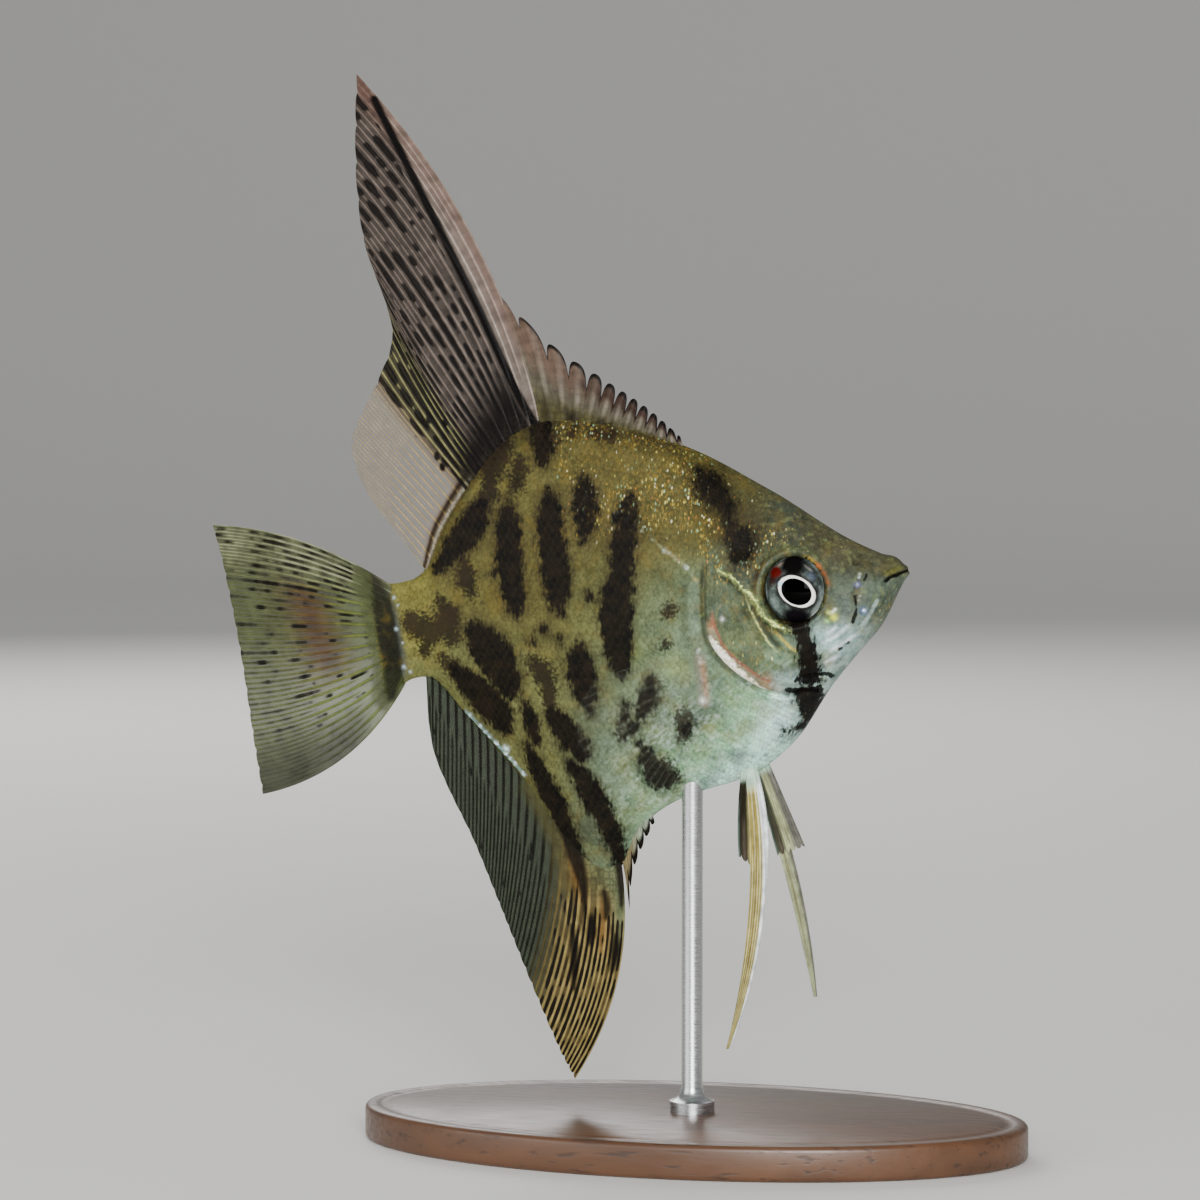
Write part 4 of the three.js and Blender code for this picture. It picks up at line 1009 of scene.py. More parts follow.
def scale_coat(name, side):
    """All the scales of one side as one mesh."""
    roots = scale_roots()
    x0, around0, pitch = roots.T
    low = np.array([np.interp(x, stations, girth[:, 0]) for x in x0])
    high = np.array([np.interp(x, stations, girth[:, -1]) for x in x0])
    rise = rise_from_girth(x0, around0)
    z0 = level_at(x0, rise)
    gap, part, hand = from_line(GILL_LINE, x0, z0, 40)
    ahead = gap * hand
    ring = from_eye(x0, z0)
    lobe = from_line(FIN_LOBE, x0, z0)[0]
    # They cover the flank, the nape, the bony plate of the gill cover and the chest. They leave
    # free the eye's surround, the cheek's folds, the breast fin's root and both edges of the body.
    body = (ahead < -0.15) & (x0 > -2.6)
    nape = (ahead > 0) & (z0 > 5.2) & (x0 < 57.5 - 0.10 * z0)
    plate = (ahead > 3.2 * fade(60, 40, x0) + 1.6) & (z0 <= 5.2) & (z0 > -11.6) & (x0 < 58.6)
    chest = (ahead < -0.2) & (x0 >= 47) & (z0 < -12)
    keep = body | nape | plate | chest
    keep &= (around0 > low + 0.35) & (around0 < high - 0.35)
    keep &= (ring > 6.1) & (lobe > 0.8)
    for line, clear in ((CHEEK_FOLD, 0.9), (UNDER_FOLD, 0.9), (PREOPERCLE, 0.5), (ORBIT_FOLD, 0.8)):
        keep &= from_line(line, x0, z0)[0] > clear
    x0, around0, pitch, low, high = (v[keep] for v in (x0, around0, pitch, low, high))
    rng = np.random.default_rng(5 if side < 0 else 6)
    fancy = rng.random(len(x0))

    # One scale: a centre, a ring part of the way out, a rim, and the centre of the underside.
    spokes = 10
    each = 2 * spokes + 2
    rim_start = 1 + spokes
    turn = np.arange(spokes) / spokes * 2 * math.pi
    back = -np.cos(turn)
    back = np.where(back < 0, back * 0.92, back * 0.8)
    across = np.sin(turn) * np.where(np.abs(np.sin(turn)) > 0.9, 1.0, 1.06)
    outline = np.stack([back, across], 1)
    local = np.concatenate([[[0, 0]], 0.62 * outline, outline, [[0, 0]]])
    bulge = np.concatenate([[1.0], np.full(spokes, 0.7), np.full(spokes, 0.0), [-0.35]])
    rim = np.concatenate([[0.0], np.full(spokes, 0.5), np.full(spokes, 1.0), [0.0]])
    free = np.clip((1 - local[:, 0]) / 2, 0, 1)

    length = SCALE_LENGTH * pitch
    width = SCALE_WIDTH * pitch
    x = x0[:, None] - 0.42 * length[:, None] + 0.5 * length[:, None] * local[None, :, 0]
    around = around0[:, None] + 0.5 * width[:, None] * local[None, :, 1]
    around = np.clip(around, low[:, None] + 0.02, high[:, None] - 0.02)
    x = np.clip(x, -3.5, 74)
    rise = rise_from_girth(x, around)
    z = level_at(x, rise)
    y = half_width_at(x, rise)
    normal = flank_normal(x, z)
    size = pitch[:, None] / 1.3
    # The front of a scale lies in the skin and its free end over the next one.
    flat = (1 - 0.4 * fade(40, 50, x0))[:, None]
    lift = flat * size * (-0.06 + 0.17 * free[None, :] + SCALE_THICKNESS * bulge[None, :])
    out = moulding(x, z) - coat_depth(x) + 0.012 + lift
    px, py, pz = x + normal[..., 0] * out, y + normal[..., 1] * out, z + normal[..., 2] * out
    points = in_place(px, side * py + tail_swing(px), pz).reshape(-1, 3)

    faces = []
    for k in range(spokes):
        n = (k + 1) % spokes
        faces += [(0, 1 + k, 1 + n), (each - 1, rim_start + n, rim_start + k)]
        faces += [(1 + k, rim_start + k, rim_start + n), (1 + k, rim_start + n, 1 + n)]
    faces = np.array(faces)
    if side < 0:
        faces = faces[:, ::-1]
    count = len(x0)
    every = (faces[None] + each * np.arange(count)[:, None, None]).reshape(-1, 3)
    mesh = bpy.data.meshes.new(name)
    mesh.from_pydata(points.tolist(), [], every.tolist())
    piece = bpy.data.objects.new(name, mesh)
    bpy.context.collection.objects.link(piece)

    # Paint is taken between the point and the scale's middle, so marks break scale by scale.
    centre = x0 - 0.5 * length
    middle_x = np.repeat(centre, each)
    middle_z = np.repeat(level_at(centre, rise_from_girth(centre, around0)), each)
    flat_x, flat_z = x.ravel(), z.ravel()
    mixed_x, mixed_z = 0.9 * flat_x + 0.1 * middle_x, 0.9 * flat_z + 0.1 * middle_z
    tint = skin_paint(mixed_x, mixed_z) * np.repeat(0.89 + 0.22 * fancy, each)[:, None]
    store(mesh, "ground", tint)
    store(mesh, "ink_gap", ink_gap(mixed_x, mixed_z, np.full(mixed_x.shape, side)))
    store_shared(mesh, flat_x, flat_z)
    # How strong the painted shade is: most on the rim towards the free end.
    store(mesh, "rim", np.tile(rim * np.clip(0.35 - local[:, 0], 0, 1), count))

    # Each scale is a small patch of the map at its root's place on the side laid flat.
    patch = 0.0014
    root_u = 0.02 + 0.96 * (x0 + 3.6) / 79
    root_v = 0.5 + 0.48 * around0 / 50
    u = root_u[:, None] + patch * local[None, :, 0]
    v = root_v[:, None] + patch * local[None, :, 1]
    spread = np.stack([u, v], axis=-1).reshape(-1, 2)
    layer = mesh.uv_layers.new(name="OFBake")
    corners = np.empty(len(mesh.loops), np.int32)
    mesh.loops.foreach_get("vertex_index", corners)
    layer.data.foreach_set("uv", spread[corners].astype(np.float32).ravel())
    # A scale is smooth but for its rim, which is a sharp edge.
    mesh.polygons.foreach_set("use_smooth", np.ones(len(mesh.polygons), bool))
    ends = np.empty(2 * len(mesh.edges), np.int32)
    mesh.edges.foreach_get("vertices", ends)
    place = ends.reshape(-1, 2) % each
    on_rim = ((place >= rim_start) & (place < each - 1)).all(axis=1)
    mesh.attributes.new("sharp_edge", "BOOLEAN", "EDGE").data.foreach_set("value", on_rim)
    mesh.update()
    return piece


scale_paint = airbrushed("airbrushed_resin_scales", scaly=True)
for name, side in [("scales_right", -1), ("scales_left", 1)]:
    coat = scale_coat(name, side)
    wear(coat, scale_paint)
    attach(coat, "root")


# ---------------------------------------------------------------- the eyes
# Glass taxidermy eyes, one in each socket: a flattened globe with a domed clear front,
# its iris painted on the back: a black pupil in a white ring, on silver-grey.
GLOBE_RADIUS, GLOBE_DEPTH, STANDS_OUT = 4.5, 2.75, 0.55
PUPIL_AHEAD, PUPIL_BELOW = 0.68, 0.25    # how far the pupil's middle lies from the globe's


def eye_piece(name, node_name, side):
    """One eye, with each point's place on its iris."""
    deselect()
    bpy.ops.mesh.primitive_uv_sphere_add(segments=96, ring_count=64, radius=1, location=(0, 0, 0))
    piece = added(name)
    ball = points_of(piece.data)
    # The globe's pole points out; its front is flatter than a ball and bulges over the pupil.
    across = np.hypot(ball[:, 0], ball[:, 1])
    spread = np.arctan2(ball[:, 1], ball[:, 0])
    radius = GLOBE_RADIUS * across ** 0.9
    depth = GLOBE_DEPTH * np.sign(ball[:, 2]) * np.maximum(1 - (radius / GLOBE_RADIUS) ** 5, 0) ** 0.5
    depth = np.where(ball[:, 2] > 0, depth + 0.22 * hump(radius, 2.2), depth)
    out = float(along(HALF_WIDTH, EYE_X)) + STANDS_OUT - GLOBE_DEPTH
    forward, upward = EYE_WIDE * radius * np.cos(spread), EYE_TALL * radius * np.sin(spread)
    shape(piece, in_place(EYE_X + forward, side * (out + depth), EYE_Z + upward))
    # Where each point lies on the iris, in millimetres forward and up from its middle.
    store(piece.data, "forward", forward - PUPIL_AHEAD)
    store(piece.data, "upward", upward + PUPIL_BELOW)
    outward(piece)
    bpy.ops.object.shade_smooth()
    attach(piece, "root")
    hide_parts(node_name)
    return piece


# Painted glass: the colours lie under a hard clear gloss.
eye_paint, tree = finish_of("painted_glass_eye")
place = node(tree, "TexCoord").outputs["Object"]
flat = node(tree, "CombineXYZ", {
    0: node(tree, "Attribute", attribute_name="forward").outputs["Fac"],
    1: node(tree, "Attribute", attribute_name="upward").outputs["Fac"],
})


def blob(centre, half_sizes, turned=0.0, soft=0.25, warp=0.0):
    """1 inside an oval of the iris and 0 outside, with a soft edge."""
    moved = node(tree, "VectorMath", {0: flat, 1: (*centre, 0)}, operation="SUBTRACT")
    spun = node(tree, "VectorRotate", {"Vector": moved, "Angle": math.radians(-turned)},
                rotation_type="Z_AXIS")
    sized = node(tree, "VectorMath", {0: spun, 1: (*half_sizes, 1)}, operation="DIVIDE")
    reach = node(tree, "VectorMath", {0: sized}, operation="LENGTH")
    if warp:
        wobble = node(tree, "TexNoise", {"Vector": place, "Scale": 900.0, "Detail": 2.0})
        reach = node(tree, "Math", {0: wobble, 1: warp, 2: reach}, operation="MULTIPLY_ADD")
    return node(tree, "MapRange", {0: reach, 1: 1 + soft / 2, 2: 1 - soft / 2},
                interpolation_type="SMOOTHSTEP")


grain = node(tree, "TexNoise", {"Vector": place, "Scale": 1500.0, "Detail": 4.0})
grain = node(tree, "MapRange", {0: grain, 1: 0.3, 2: 0.7})
colour = node(tree, "Mix", {0: grain, 6: "1d2220", 7: "5a6662"},
              data_type="RGBA")
clotted = node(tree, "TexNoise", {"Vector": place, "Scale": 1100.0, "Detail": 4.0, "Roughness": 0.6})
dark_mottle = node(tree, "MapRange", {0: clotted, 1: 0.5, 2: 0.64})
pale_mottle = node(tree, "MapRange", {0: clotted, 1: 0.46, 2: 0.32})
for code, cover, strength in [
    ("6f7c74", blob((-0.68, 0.25), (4.24, 4.68), 0, 0.02), 0.8),
    ("2a302d", blob((-0.58, 0.25), (4.05, 4.5), 0, 0.08), 0.9),
    ("3f4743", blob((-0.6, 0.2), (3.8, 4.2), 0, 0.2, 0.2), 0.6),
    ("66736f", blob((-3.3, -1.4), (0.9, 2.0), 24, 1.0, 0.6), 0.9),
    ("8b9796", blob((-4.45, 0.6), (0.2, 1.7), -4, 0.9, 0.4), 0.8),
    ("3c4240", blob((2.5, 0.6), (1.0, 1.7), 8, 1.0, 0.4), 0.9),
    ("4f5868", blob((2.3, 1.8), (0.6, 0.9), 30, 1.0, 0.6), 0.7),
    ("8f8882", blob((1.8, 3.1), (0.2, 1.1), 46, 1.0, 0.7), 0.6),
    ("7d8986", blob((3.05, -1.2), (0.5, 1.6), -20, 1.0, 0.6), 0.8),
    ("1a1d1b", dark_mottle, 0.55),
    ("8f9a94", pale_mottle, 0.35),
    ("8b7a6c", blob((-1.9, 4.0), (0.75, 0.3), 32, 0.8, 0.5), 0.7),
    ("260e0b", blob((-3.2, 2.0), (0.65, 1.1), -22, 0.9, 0.4), 0.9),
    ("4a0a05", blob((-2.7, 3.05), (1.25, 1.0), -20, 0.6, 0.5), 1.0),
    ("0a0808", blob((-0.1, 3.7), (2.25, 2.1), 0, 0.5, 0.5), 1.0),
    ("0c090d", blob((-0.65, -3.5), (2.55, 1.7), 0, 0.6, 0.5), 1.0),
    ("87938d", blob((2.35, -2.65), (0.5, 1.9), -44, 1.0, 0.6), 0.8),
    ("c8d2ca", blob((2.1, -3.15), (0.18, 1.6), -52, 1.0, 0.5), 0.85),
    ("120f10", blob((0.0, 0.0), (3.16, 2.36), -37, 0.24), 0.9),
    ("f6f4ee", blob((0.0, 0.0), (2.88, 2.08), -37, 0.09, 0.08), 1.0),
    ("b4d4e4", blob((-1.95, 1.25), (0.5, 0.4), -30, 0.8), 0.8),
    ("010101", blob((-0.03, -0.03), (2.24, 1.76), -37, 0.05), 1.0),
]:
    cover = node(tree, "Math", {0: cover, 1: strength}, operation="MULTIPLY")
    colour = node(tree, "Mix", {0: cover, 6: colour, 7: code}, data_type="RGBA")
fibre = node(tree, "TexNoise", {"Vector": place, "Scale": 2600.0, "Detail": 2.0})
ripple = node(tree, "Bump", {"Height": fibre, "Strength": 0.08, "Distance": 0.00004})
surface = node(tree, "BsdfPrincipled", {
    "Base Color": colour, "Roughness": 0.4, "Normal": ripple, "IOR": 1.5, "Specular IOR Level": 0.0,
    "Coat Weight": 0.05, "Coat Roughness": 0.04, "Coat IOR": 1.5,
})
node(tree, "OutputMaterial", {"Surface": surface})
for name, side in [("right", -1), ("left", 1)]:
    wear(eye_piece(f"eyeball_{name}", f"eye_{name}", side), eye_paint)


# ---------------------------------------------------------------- the dorsal fin's spines
# A comb of thirteen stiff spines with a web between them that stops short of their tips,
# so that each ends in a dark lappet. Cast in clear-tinted resin, thin at the rim.
FULL_WALL = 0.6    # millimetres to each side of a sheet's middle, where it is thickest


def edge_through(knots):
    """The edge of a fin through knots of (u, x, z), where u runs from 0 to 1 across its fan."""
    return lambda u: (along(knots, u, 1), along(knots, u, 2))


def root_line(edge, start, end, depth, ease=1.0):
    """Root points under the back or the belly's edge, from one x to another."""
    def base_at(u):
        x = start + (end - start) * u ** ease
        return x, along(edge, x) - depth
    return base_at


def across(value, u):
    """A value across the fan, from one number or from knots of (u, value)."""
    return along(value, u) if isinstance(value, list) else value + 0 * u


def off_ray(u, pitches):
    """How far a place is from the nearest ray's middle: 0 on it and 1 halfway to the next."""
    return np.abs((u * pitches + 0.5) % 1 - 0.5) * 2


def fin_sheet(name, rays, per_ray, rows, base_at, tip_at, bow, notch, middle_at,
              ray_half=0.22, web_half=0.08, root_half=0.5, lappet=2.4, splits=()):
    """A fan of fin rays as a thin sheet, and what is known at each of its points.

    Returns the piece and a dict of u across the fan, part and v along the ray, x, z, the
    millimetres from the root and from the tip, the fan's rays counted up to there, and how
    far the ray has split.
    """
    deselect()
    pitches = rays - 1
    bpy.ops.mesh.primitive_grid_add(x_subdivisions=per_ray * pitches, y_subdivisions=rows, size=2)
    piece = added(name)
    flat = points_of(piece.data)
    u = np.clip((flat[:, 0] + 1) / 2, 0, 1)
    part = np.clip((flat[:, 1] + 1) / 2, 0, 1)
    base_x, base_z = base_at(u)
    tip_x, tip_z = tip_at(u)
    bend_x = (base_x + tip_x) / 2 + across(bow, u) * (tip_z - base_z)
    bend_z = (base_z + tip_z) / 2 - across(bow, u) * (tip_x - base_x)
    cut = 1 - np.sqrt(np.maximum(1 - (off_ray(u, pitches) / 0.94) ** lappet, 0))
    reach = 1 - across(notch, u) * cut
    v = part * reach
    x = (1 - v) ** 2 * base_x + 2 * v * (1 - v) * bend_x + v * v * tip_x
    z = (1 - v) ** 2 * base_z + 2 * v * (1 - v) * bend_z + v * v * tip_z
    length = np.hypot(tip_x - base_x, tip_z - base_z)
    # Each ray is one stem that splits in two, and again, further out.
    ray = fade(0.55, 0.10, off_ray(u, pitches))
    amounts = np.zeros((len(u), 3))
    for number, (starts, ends) in enumerate(splits):
        split = fade(0.75, 0.15, off_ray(u, pitches * 2 ** (number + 1))) * (0.85 if number == 0 else 0.7)
        amount = amounts[:, number] = fade(starts, ends, part)
        ray = ray * (1 - amount) + split * amount
    # The wall is thinner at the rim and at both sides of the fan, and thick at the root.
    half = web_half + (ray_half - web_half) * ray
    half = half * (0.35 + 0.65 * fade(1.0, 0.8, part)) + (root_half - half) * fade(0.2, 0.0, v)
    half = half * (0.45 + 0.55 * np.minimum(fade(0, 0.01, u), fade(1, 0.99, u)))
    shape(piece, in_place(x, middle_at(x, z), z))
    group = piece.vertex_groups.new(name="thickness")
    for index, value in enumerate(half / FULL_WALL):
        group.add([index], float(min(value, 1)), "REPLACE")
    return piece, dict(u=u, part=part, x=x, z=z, from_root=v * length, from_tip=(reach - v) * length,
                       fan=u * pitches, split=amounts)


def two_paints(known, grounds, layers):
    """The web's paint and the ribs', each a colour and an opacity for every point of a sheet.

    The grounds are two pairs of a colour and an opacity. A layer is a colour, its cover and
    its opacity, which may be left out; two of either in brackets are the web's and the ribs'.
    """
    paints = []
    for which, (code, opacity) in enumerate(grounds):
        paint = np.tile([*linear(code), opacity], (len(known["u"]), 1))
        for layer in layers:
            code, cover, opacity = (*layer, None)[:3]
            code, opacity = (own[which] if isinstance(own, tuple) else own for own in (code, opacity))
            cover = np.clip(cover, 0, 1)[:, None]
            paint[:, :3] = paint[:, :3] * (1 - cover) + np.array(linear(code)) * cover
            if opacity is not None:
                paint[:, 3:] = paint[:, 3:] * (1 - cover) + opacity * cover
        paints.append(paint)
    return paints


def close_sheet(piece, known, web, rib, streak, slot_name, *nodes):
    """Stores the paint, gives the sheet its thickness, and fixes it to the fish."""
    for kept, values in [
        ("web", web), ("rib", rib), ("streak", streak), ("fan", known["fan"]), ("split", known["split"]),
        ("out", known["from_root"]), ("scaly", known.get("scaly", 0 * known["u"])),
    ]:
        store(piece.data, kept, values)
    pick(piece)
    wall = piece.modifiers.new("wall", "SOLIDIFY")
    wall.thickness = 2 * FULL_WALL / 1000
    wall.offset = 0
    wall.vertex_group = "thickness"
    bpy.ops.object.modifier_apply(modifier="wall")
    piece.vertex_groups.clear()
    outward(piece)
    bpy.ops.object.shade_smooth_by_angle(angle=math.radians(50))
    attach(piece, "root")
    if nodes:
        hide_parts(*nodes)


def tinted_fin(name, streak_length=2.2, streak_width=0.55, streak_edge=0.07, rib_width=0.55, gloss=0.35):
    """Tinted resin sheet: bony ribs, a clear web, and dark streaks drawn out along the rays.

    Each streak keeps to its own web between two rays.
    """
    material, tree = finish_of(name)
    place = node(tree, "TexCoord").outputs["Object"]
    web, rib, split = [
        node(tree, "Attribute", attribute_name=kept).outputs for kept in ("web", "rib", "split")]
    split = node(tree, "SeparateColor", {0: split["Color"]}).outputs
    fan, streak, out, scaly = [
        node(tree, "Attribute", attribute_name=kept).outputs["Fac"]
        for kept in ("fan", "streak", "out", "scaly")]
    # A ray is one rib at its root, then two, then four, each broader for its own pitch and fainter.
    for times, width, strength in [(1, rib_width, 1), (2, rib_width * 1.3, 0.9), (4, rib_width * 1.5, 0.8)]:
        finer = node(tree, "Math", {0: fan, 1: times}, operation="MULTIPLY")
        finer = node(tree, "Math", {0: finer, 1: 0.5}, operation="PINGPONG")
        finer = node(tree, "MapRange", {0: finer, 1: width / 2, 2: 0.04, 4: strength})
        ray = finer if times == 1 else node(tree, "Mix", {0: split[times // 2 - 1], 2: ray, 3: finer})
    half_lanes = node(tree, "Math", {0: fan, 1: 2}, operation="MULTIPLY")
    lane = node(tree, "Math", {0: half_lanes}, operation="FLOOR")
    middle = node(tree, "Math", {0: half_lanes, 1: 0.5}, operation="PINGPONG")
    middle = node(tree, "MapRange", {0: middle, 1: 0.5 - 0.5 * streak_width, 2: 0.5 - 0.2 * streak_width})
    streak = node(tree, "Math", {0: streak, 1: middle}, operation="MULTIPLY")
    # Joints of the rays, about 0.7 mm apart, show as faint bars on the ribs.
    joint = node(tree, "Math", {0: out, 1: 9}, operation="MULTIPLY")
    joint = node(tree, "Math", {0: joint}, operation="SINE")
    joint = node(tree, "MapRange", {0: joint, 1: 0.3, 4: 0.16})
    joint = node(tree, "Math", {0: joint, 1: ray}, operation="MULTIPLY")
    crest = node(tree, "MapRange", {0: ray, 1: 0.1, 2: 0.8})
    cloud = node(tree, "TexNoise", {"Vector": place, "Scale": 600, "Detail": 3})
    apart = node(tree, "Math", {0: lane, 1: 7.37}, operation="MULTIPLY")
    drawn = node(tree, "Math", {0: out, 1: 1 / streak_length}, operation="MULTIPLY")
    spot = node(tree, "CombineXYZ", {0: apart, 1: drawn})
    uneven = node(tree, "TexNoise", {"Vector": spot, "Scale": 1.7, "Detail": 2})
    uneven = node(tree, "Math", {0: cloud, 1: uneven}, operation="ADD")
    value = node(tree, "MapRange", {0: uneven, 1: 0.7, 2: 1.3, 3: 0.66, 4: 1.34})
    colour = node(tree, "Mix", {0: crest, 6: web["Color"], 7: rib["Color"]}, data_type="RGBA")
    colour = node(tree, "HueSaturation", {"Color": colour, "Value": value})
    colour = node(tree, "Mix", {0: joint, 6: colour, 7: "3a3426"}, data_type="RGBA")
    # Small scales run up onto the root.
    cells = {"Vector": place, "Scale": 1100, "Randomness": 0.5}
    cells = node(tree, "TexVoronoi", cells, feature="DISTANCE_TO_EDGE")
    colour = washed(tree, colour, "24211a", cells, 0.14, 0.02, 0.5, scaly)
    # Streaks: each web between two rays has its own run of dashes, a few millimetres long.
    blotch = node(tree, "TexNoise", {"Vector": spot, "Scale": 1, "Detail": 1.5})
    level = node(tree, "MapRange", {0: streak, 3: 0.80, 4: 0.30})
    over = node(tree, "Math", {0: blotch, 1: level}, operation="SUBTRACT")
    dark = node(tree, "MapRange", {0: over, 2: streak_edge, 4: 0.94}, interpolation_type="SMOOTHSTEP")
    colour = node(tree, "Mix", {0: dark, 6: colour, 7: "0c0908"}, data_type="RGBA")
    cover = node(tree, "Mix", {0: crest, 2: web["Alpha"], 3: rib["Alpha"]})
    cover = node(tree, "Math", {0: cover, 1: dark}, operation="MAXIMUM", use_clamp=True)
    rough = node(tree, "MapRange", {0: cloud, 1: 0.3, 2: 0.7, 3: gloss - 0.06, 4: gloss + 0.12})
    height = node(tree, "Math", {0: joint, 1: -0.4, 2: ray}, operation="MULTIPLY_ADD")
    bump = node(tree, "Bump", {"Height": height, "Strength": 0.5, "Distance": 0.0001})
    surface = node(tree, "BsdfPrincipled", {
        "Base Color": colour, "Alpha": cover, "Roughness": rough, "Normal": bump, "IOR": 1.46,
        "Specular IOR Level": 0.06,
    })
    node(tree, "OutputMaterial", {"Surface": surface})
    return material


def dorsal_lean(x, z):
    """How far the dorsal fin leans to the left."""
    return 0.0007 * np.maximum(z - 28, 0) ** 2


def anal_lean(x, z):
    """How far the anal fin leans to the left."""
    return 0.0007 * np.maximum(-30 - z, 0) ** 2


spiny, known = fin_sheet(
    "dorsal_spines", rays=13, per_ray=22, rows=44, base_at=root_line(BACK, 45.6, 25.2, 1.2),
    tip_at=edge_through([
        (0, 45.3, 23.1), (0.33, 40.9, 27.9), (0.64, 35.1, 32.8), (0.84, 28.6, 38.3), (1, 21.4, 46.8),
    ]),
    bow=[(0, 0), (1, 0.05)], notch=[(0, 0.46), (0.4, 0.44), (0.8, 0.30), (1, 0.14)],
    middle_at=dorsal_lean, ray_half=0.24, web_half=0.10, lappet=2.6,
)
part, u, x = (known[kept] for kept in ("part", "u", "x"))
known["scaly"] = fade(0.38, 0.2, part)
bars = hump(x - 30.0, 1.3) + hump(x - 34.6, 1.5) + 0.7 * hump(x - 26.4, 1.2)
paints = two_paints(known, [("4c473a", 0.82), ("696256", 0.95)], [
    ("5e453a", 0.6 * fade(0.45, 0.9, u) * fade(0.35, 0.75, part)),
    ("4b4729", fade(0.42, 0.12, part), 1.0),
    ("3a3820", 0.8 * fade(0.8, 0.4, u) * fade(0.40, 0.05, part), 1.0),
    ("15100c", 0.9 * bars * fade(0.32, 0.12, part), 1.0),
    ("2c1a15", 0.85 * fade(0.52, 0.74, part) * fade(0.9, 0.55, u), 0.96),
    ("070505", fade(0.85, 0.35, known["from_tip"]) * fade(1.02, 0.9, u), 0.99),
])
close_sheet(spiny, known, *paints, 0.12 * fade(0.3, 0.6, u) * fade(0.2, 0.0, part), "fin", "dorsal_fin_spiny")
wear(spiny, tinted_fin("tinted_resin_spines", rib_width=0.5))


# ---------------------------------------------------------------- the dorsal fin's sail
# The tall soft part: seventeen jointed rays that branch towards the rim, smoke-dark along
# their middle, with a pale pink leading band, one black line, and a clear yellow hind part.
sail, known = fin_sheet(
    "dorsal_sail", rays=17, per_ray=14, rows=130, base_at=root_line(BACK, 25.4, 6.0, 2.0, 0.92),
    tip_at=edge_through([
        (0, 4.3, 81), (0.1, 3.2, 73.5), (0.2, 2.4, 65), (0.3, 2.6, 56.5), (0.42, 4.8, 47), (0.5, 4.9, 42.3),
        (0.58, 2.2, 37.2), (0.7, -0.6, 33.3), (0.85, -3.1, 28.5), (0.94, -2.6, 23.5), (1, -1.2, 19.8),
    ]),
    bow=[(0, 0.145), (0.2, 0.08), (0.4, -0.05), (0.7, 0), (1, 0.02)], notch=[(0, 0.006), (1, 0.021)],
    middle_at=dorsal_lean, ray_half=0.2, web_half=0.07, splits=[(0.1, 0.22), (0.5, 0.65)],
)
x, z, u, part = (known[kept] for kept in ("x", "z", "u", "part"))
known["scaly"] = fade(0.10, 0.05, part)
BLACK_LINE = [(24.6, 27.6), (22.9, 31.3), (20.8, 37.3), (18.4, 44.8), (15.8, 52.1), (11.6, 63.5), (6.5, 77.0)]
gap, run, hand = from_line(BLACK_LINE, x, z, 30)
ahead = -gap * hand
yellow = fade(0.38, 0.47, u) * fade(0.66, 0.56, u)
paints = two_paints(known, [("3b342f", 0.88), ("625750", 0.96)], [
    (("675d55", "968a80"), fade(0.3, 0.9, ahead), (0.84, 0.96)),
    ("69483c", 0.4 * fade(1.3, 0.2, u * 17) * fade(0.1, 0.3, part)),
    (("302d1c", "75734a"), 0.95 * yellow, (0.8, 0.95)),
    (("6d5538", "a08a5a"), fade(0.55, 0.64, u), (0.08, 0.55)),
    ("4a4426", 0.9 * fade(0.09, 0.05, part) * fade(0.5, 0.62, u), 0.95),
    ("100c0a", fade(0.30, 0.10, part) * fade(0.60, 0.48, u) * fade(-0.3, -1.2, ahead), 0.98),
    ("120e0a", 0.95 * hump(part - 0.078 - 0.03 * u, 0.026) * fade(0.45, 0.6, u), 0.97),
    ("9a968a", 0.6 * hump(part - 0.036 - 0.03 * u, 0.012) * fade(0.5, 0.62, u), 0.97),
    *[("0c0907", fade(0.6, 0.3, np.hypot(x - px, (z - pz) * 0.7)), 0.97)
      for px, pz in [(8.9, 30.3), (11.2, 29.5), (9.4, 25.0), (10.0, 23.4)]],
    ("060404", fade(0.75, 0.42, gap), 0.99),
])
streak = (0.72 + 0.16 * yellow) * fade(-0.5, -1.2, ahead) * fade(0.64, 0.56, u)
close_sheet(sail, known, *paints, streak, "fin", "dorsal_fin_soft")
wear(sail, tinted_fin("tinted_resin_sail", streak_length=3.4, streak_width=0.9, rib_width=0.3))


# ---------------------------------------------------------------- the anal fin
# Six short spines with lappets on the front edge, then a soft part like the sail's, hung
# from the belly: tan and scaly in front, smoke-dark and clear behind.
def anal_spine_base(u):
    """Root points a little behind the belly's edge and inside it."""
    x = 34.8 + (29.6 - 34.8) * u
    return x - 1.0, along(BELLY, x) + 2.0


comb, known = fin_sheet(
    "anal_spines", rays=6, per_ray=14, rows=34, base_at=anal_spine_base,
    tip_at=edge_through([(0, 34.3, -30.6), (0.4, 32.0, -33.9), (0.75, 30.0, -37.8), (1, 28.9, -42.5)]),
    bow=[(0, 0), (1, -0.05)], notch=0.3, middle_at=anal_lean, ray_half=0.26, web_half=0.12, lappet=2.6,
)
paints = two_paints(known, [("7c8674", 0.9), ("8d9683", 0.98)], [
    ("6c5a32", 0.8 * fade(0.3, 0.8, known["u"])),
    ("0f0b08", fade(0.66, 0.84, known["part"]), 0.98),
])
close_sheet(comb, known, *paints, 0.22 * fade(0.4, 0.8, known["part"]), "fin", "anal_fin_spiny")
wear(comb, tinted_fin("tinted_resin_anal_spines"))

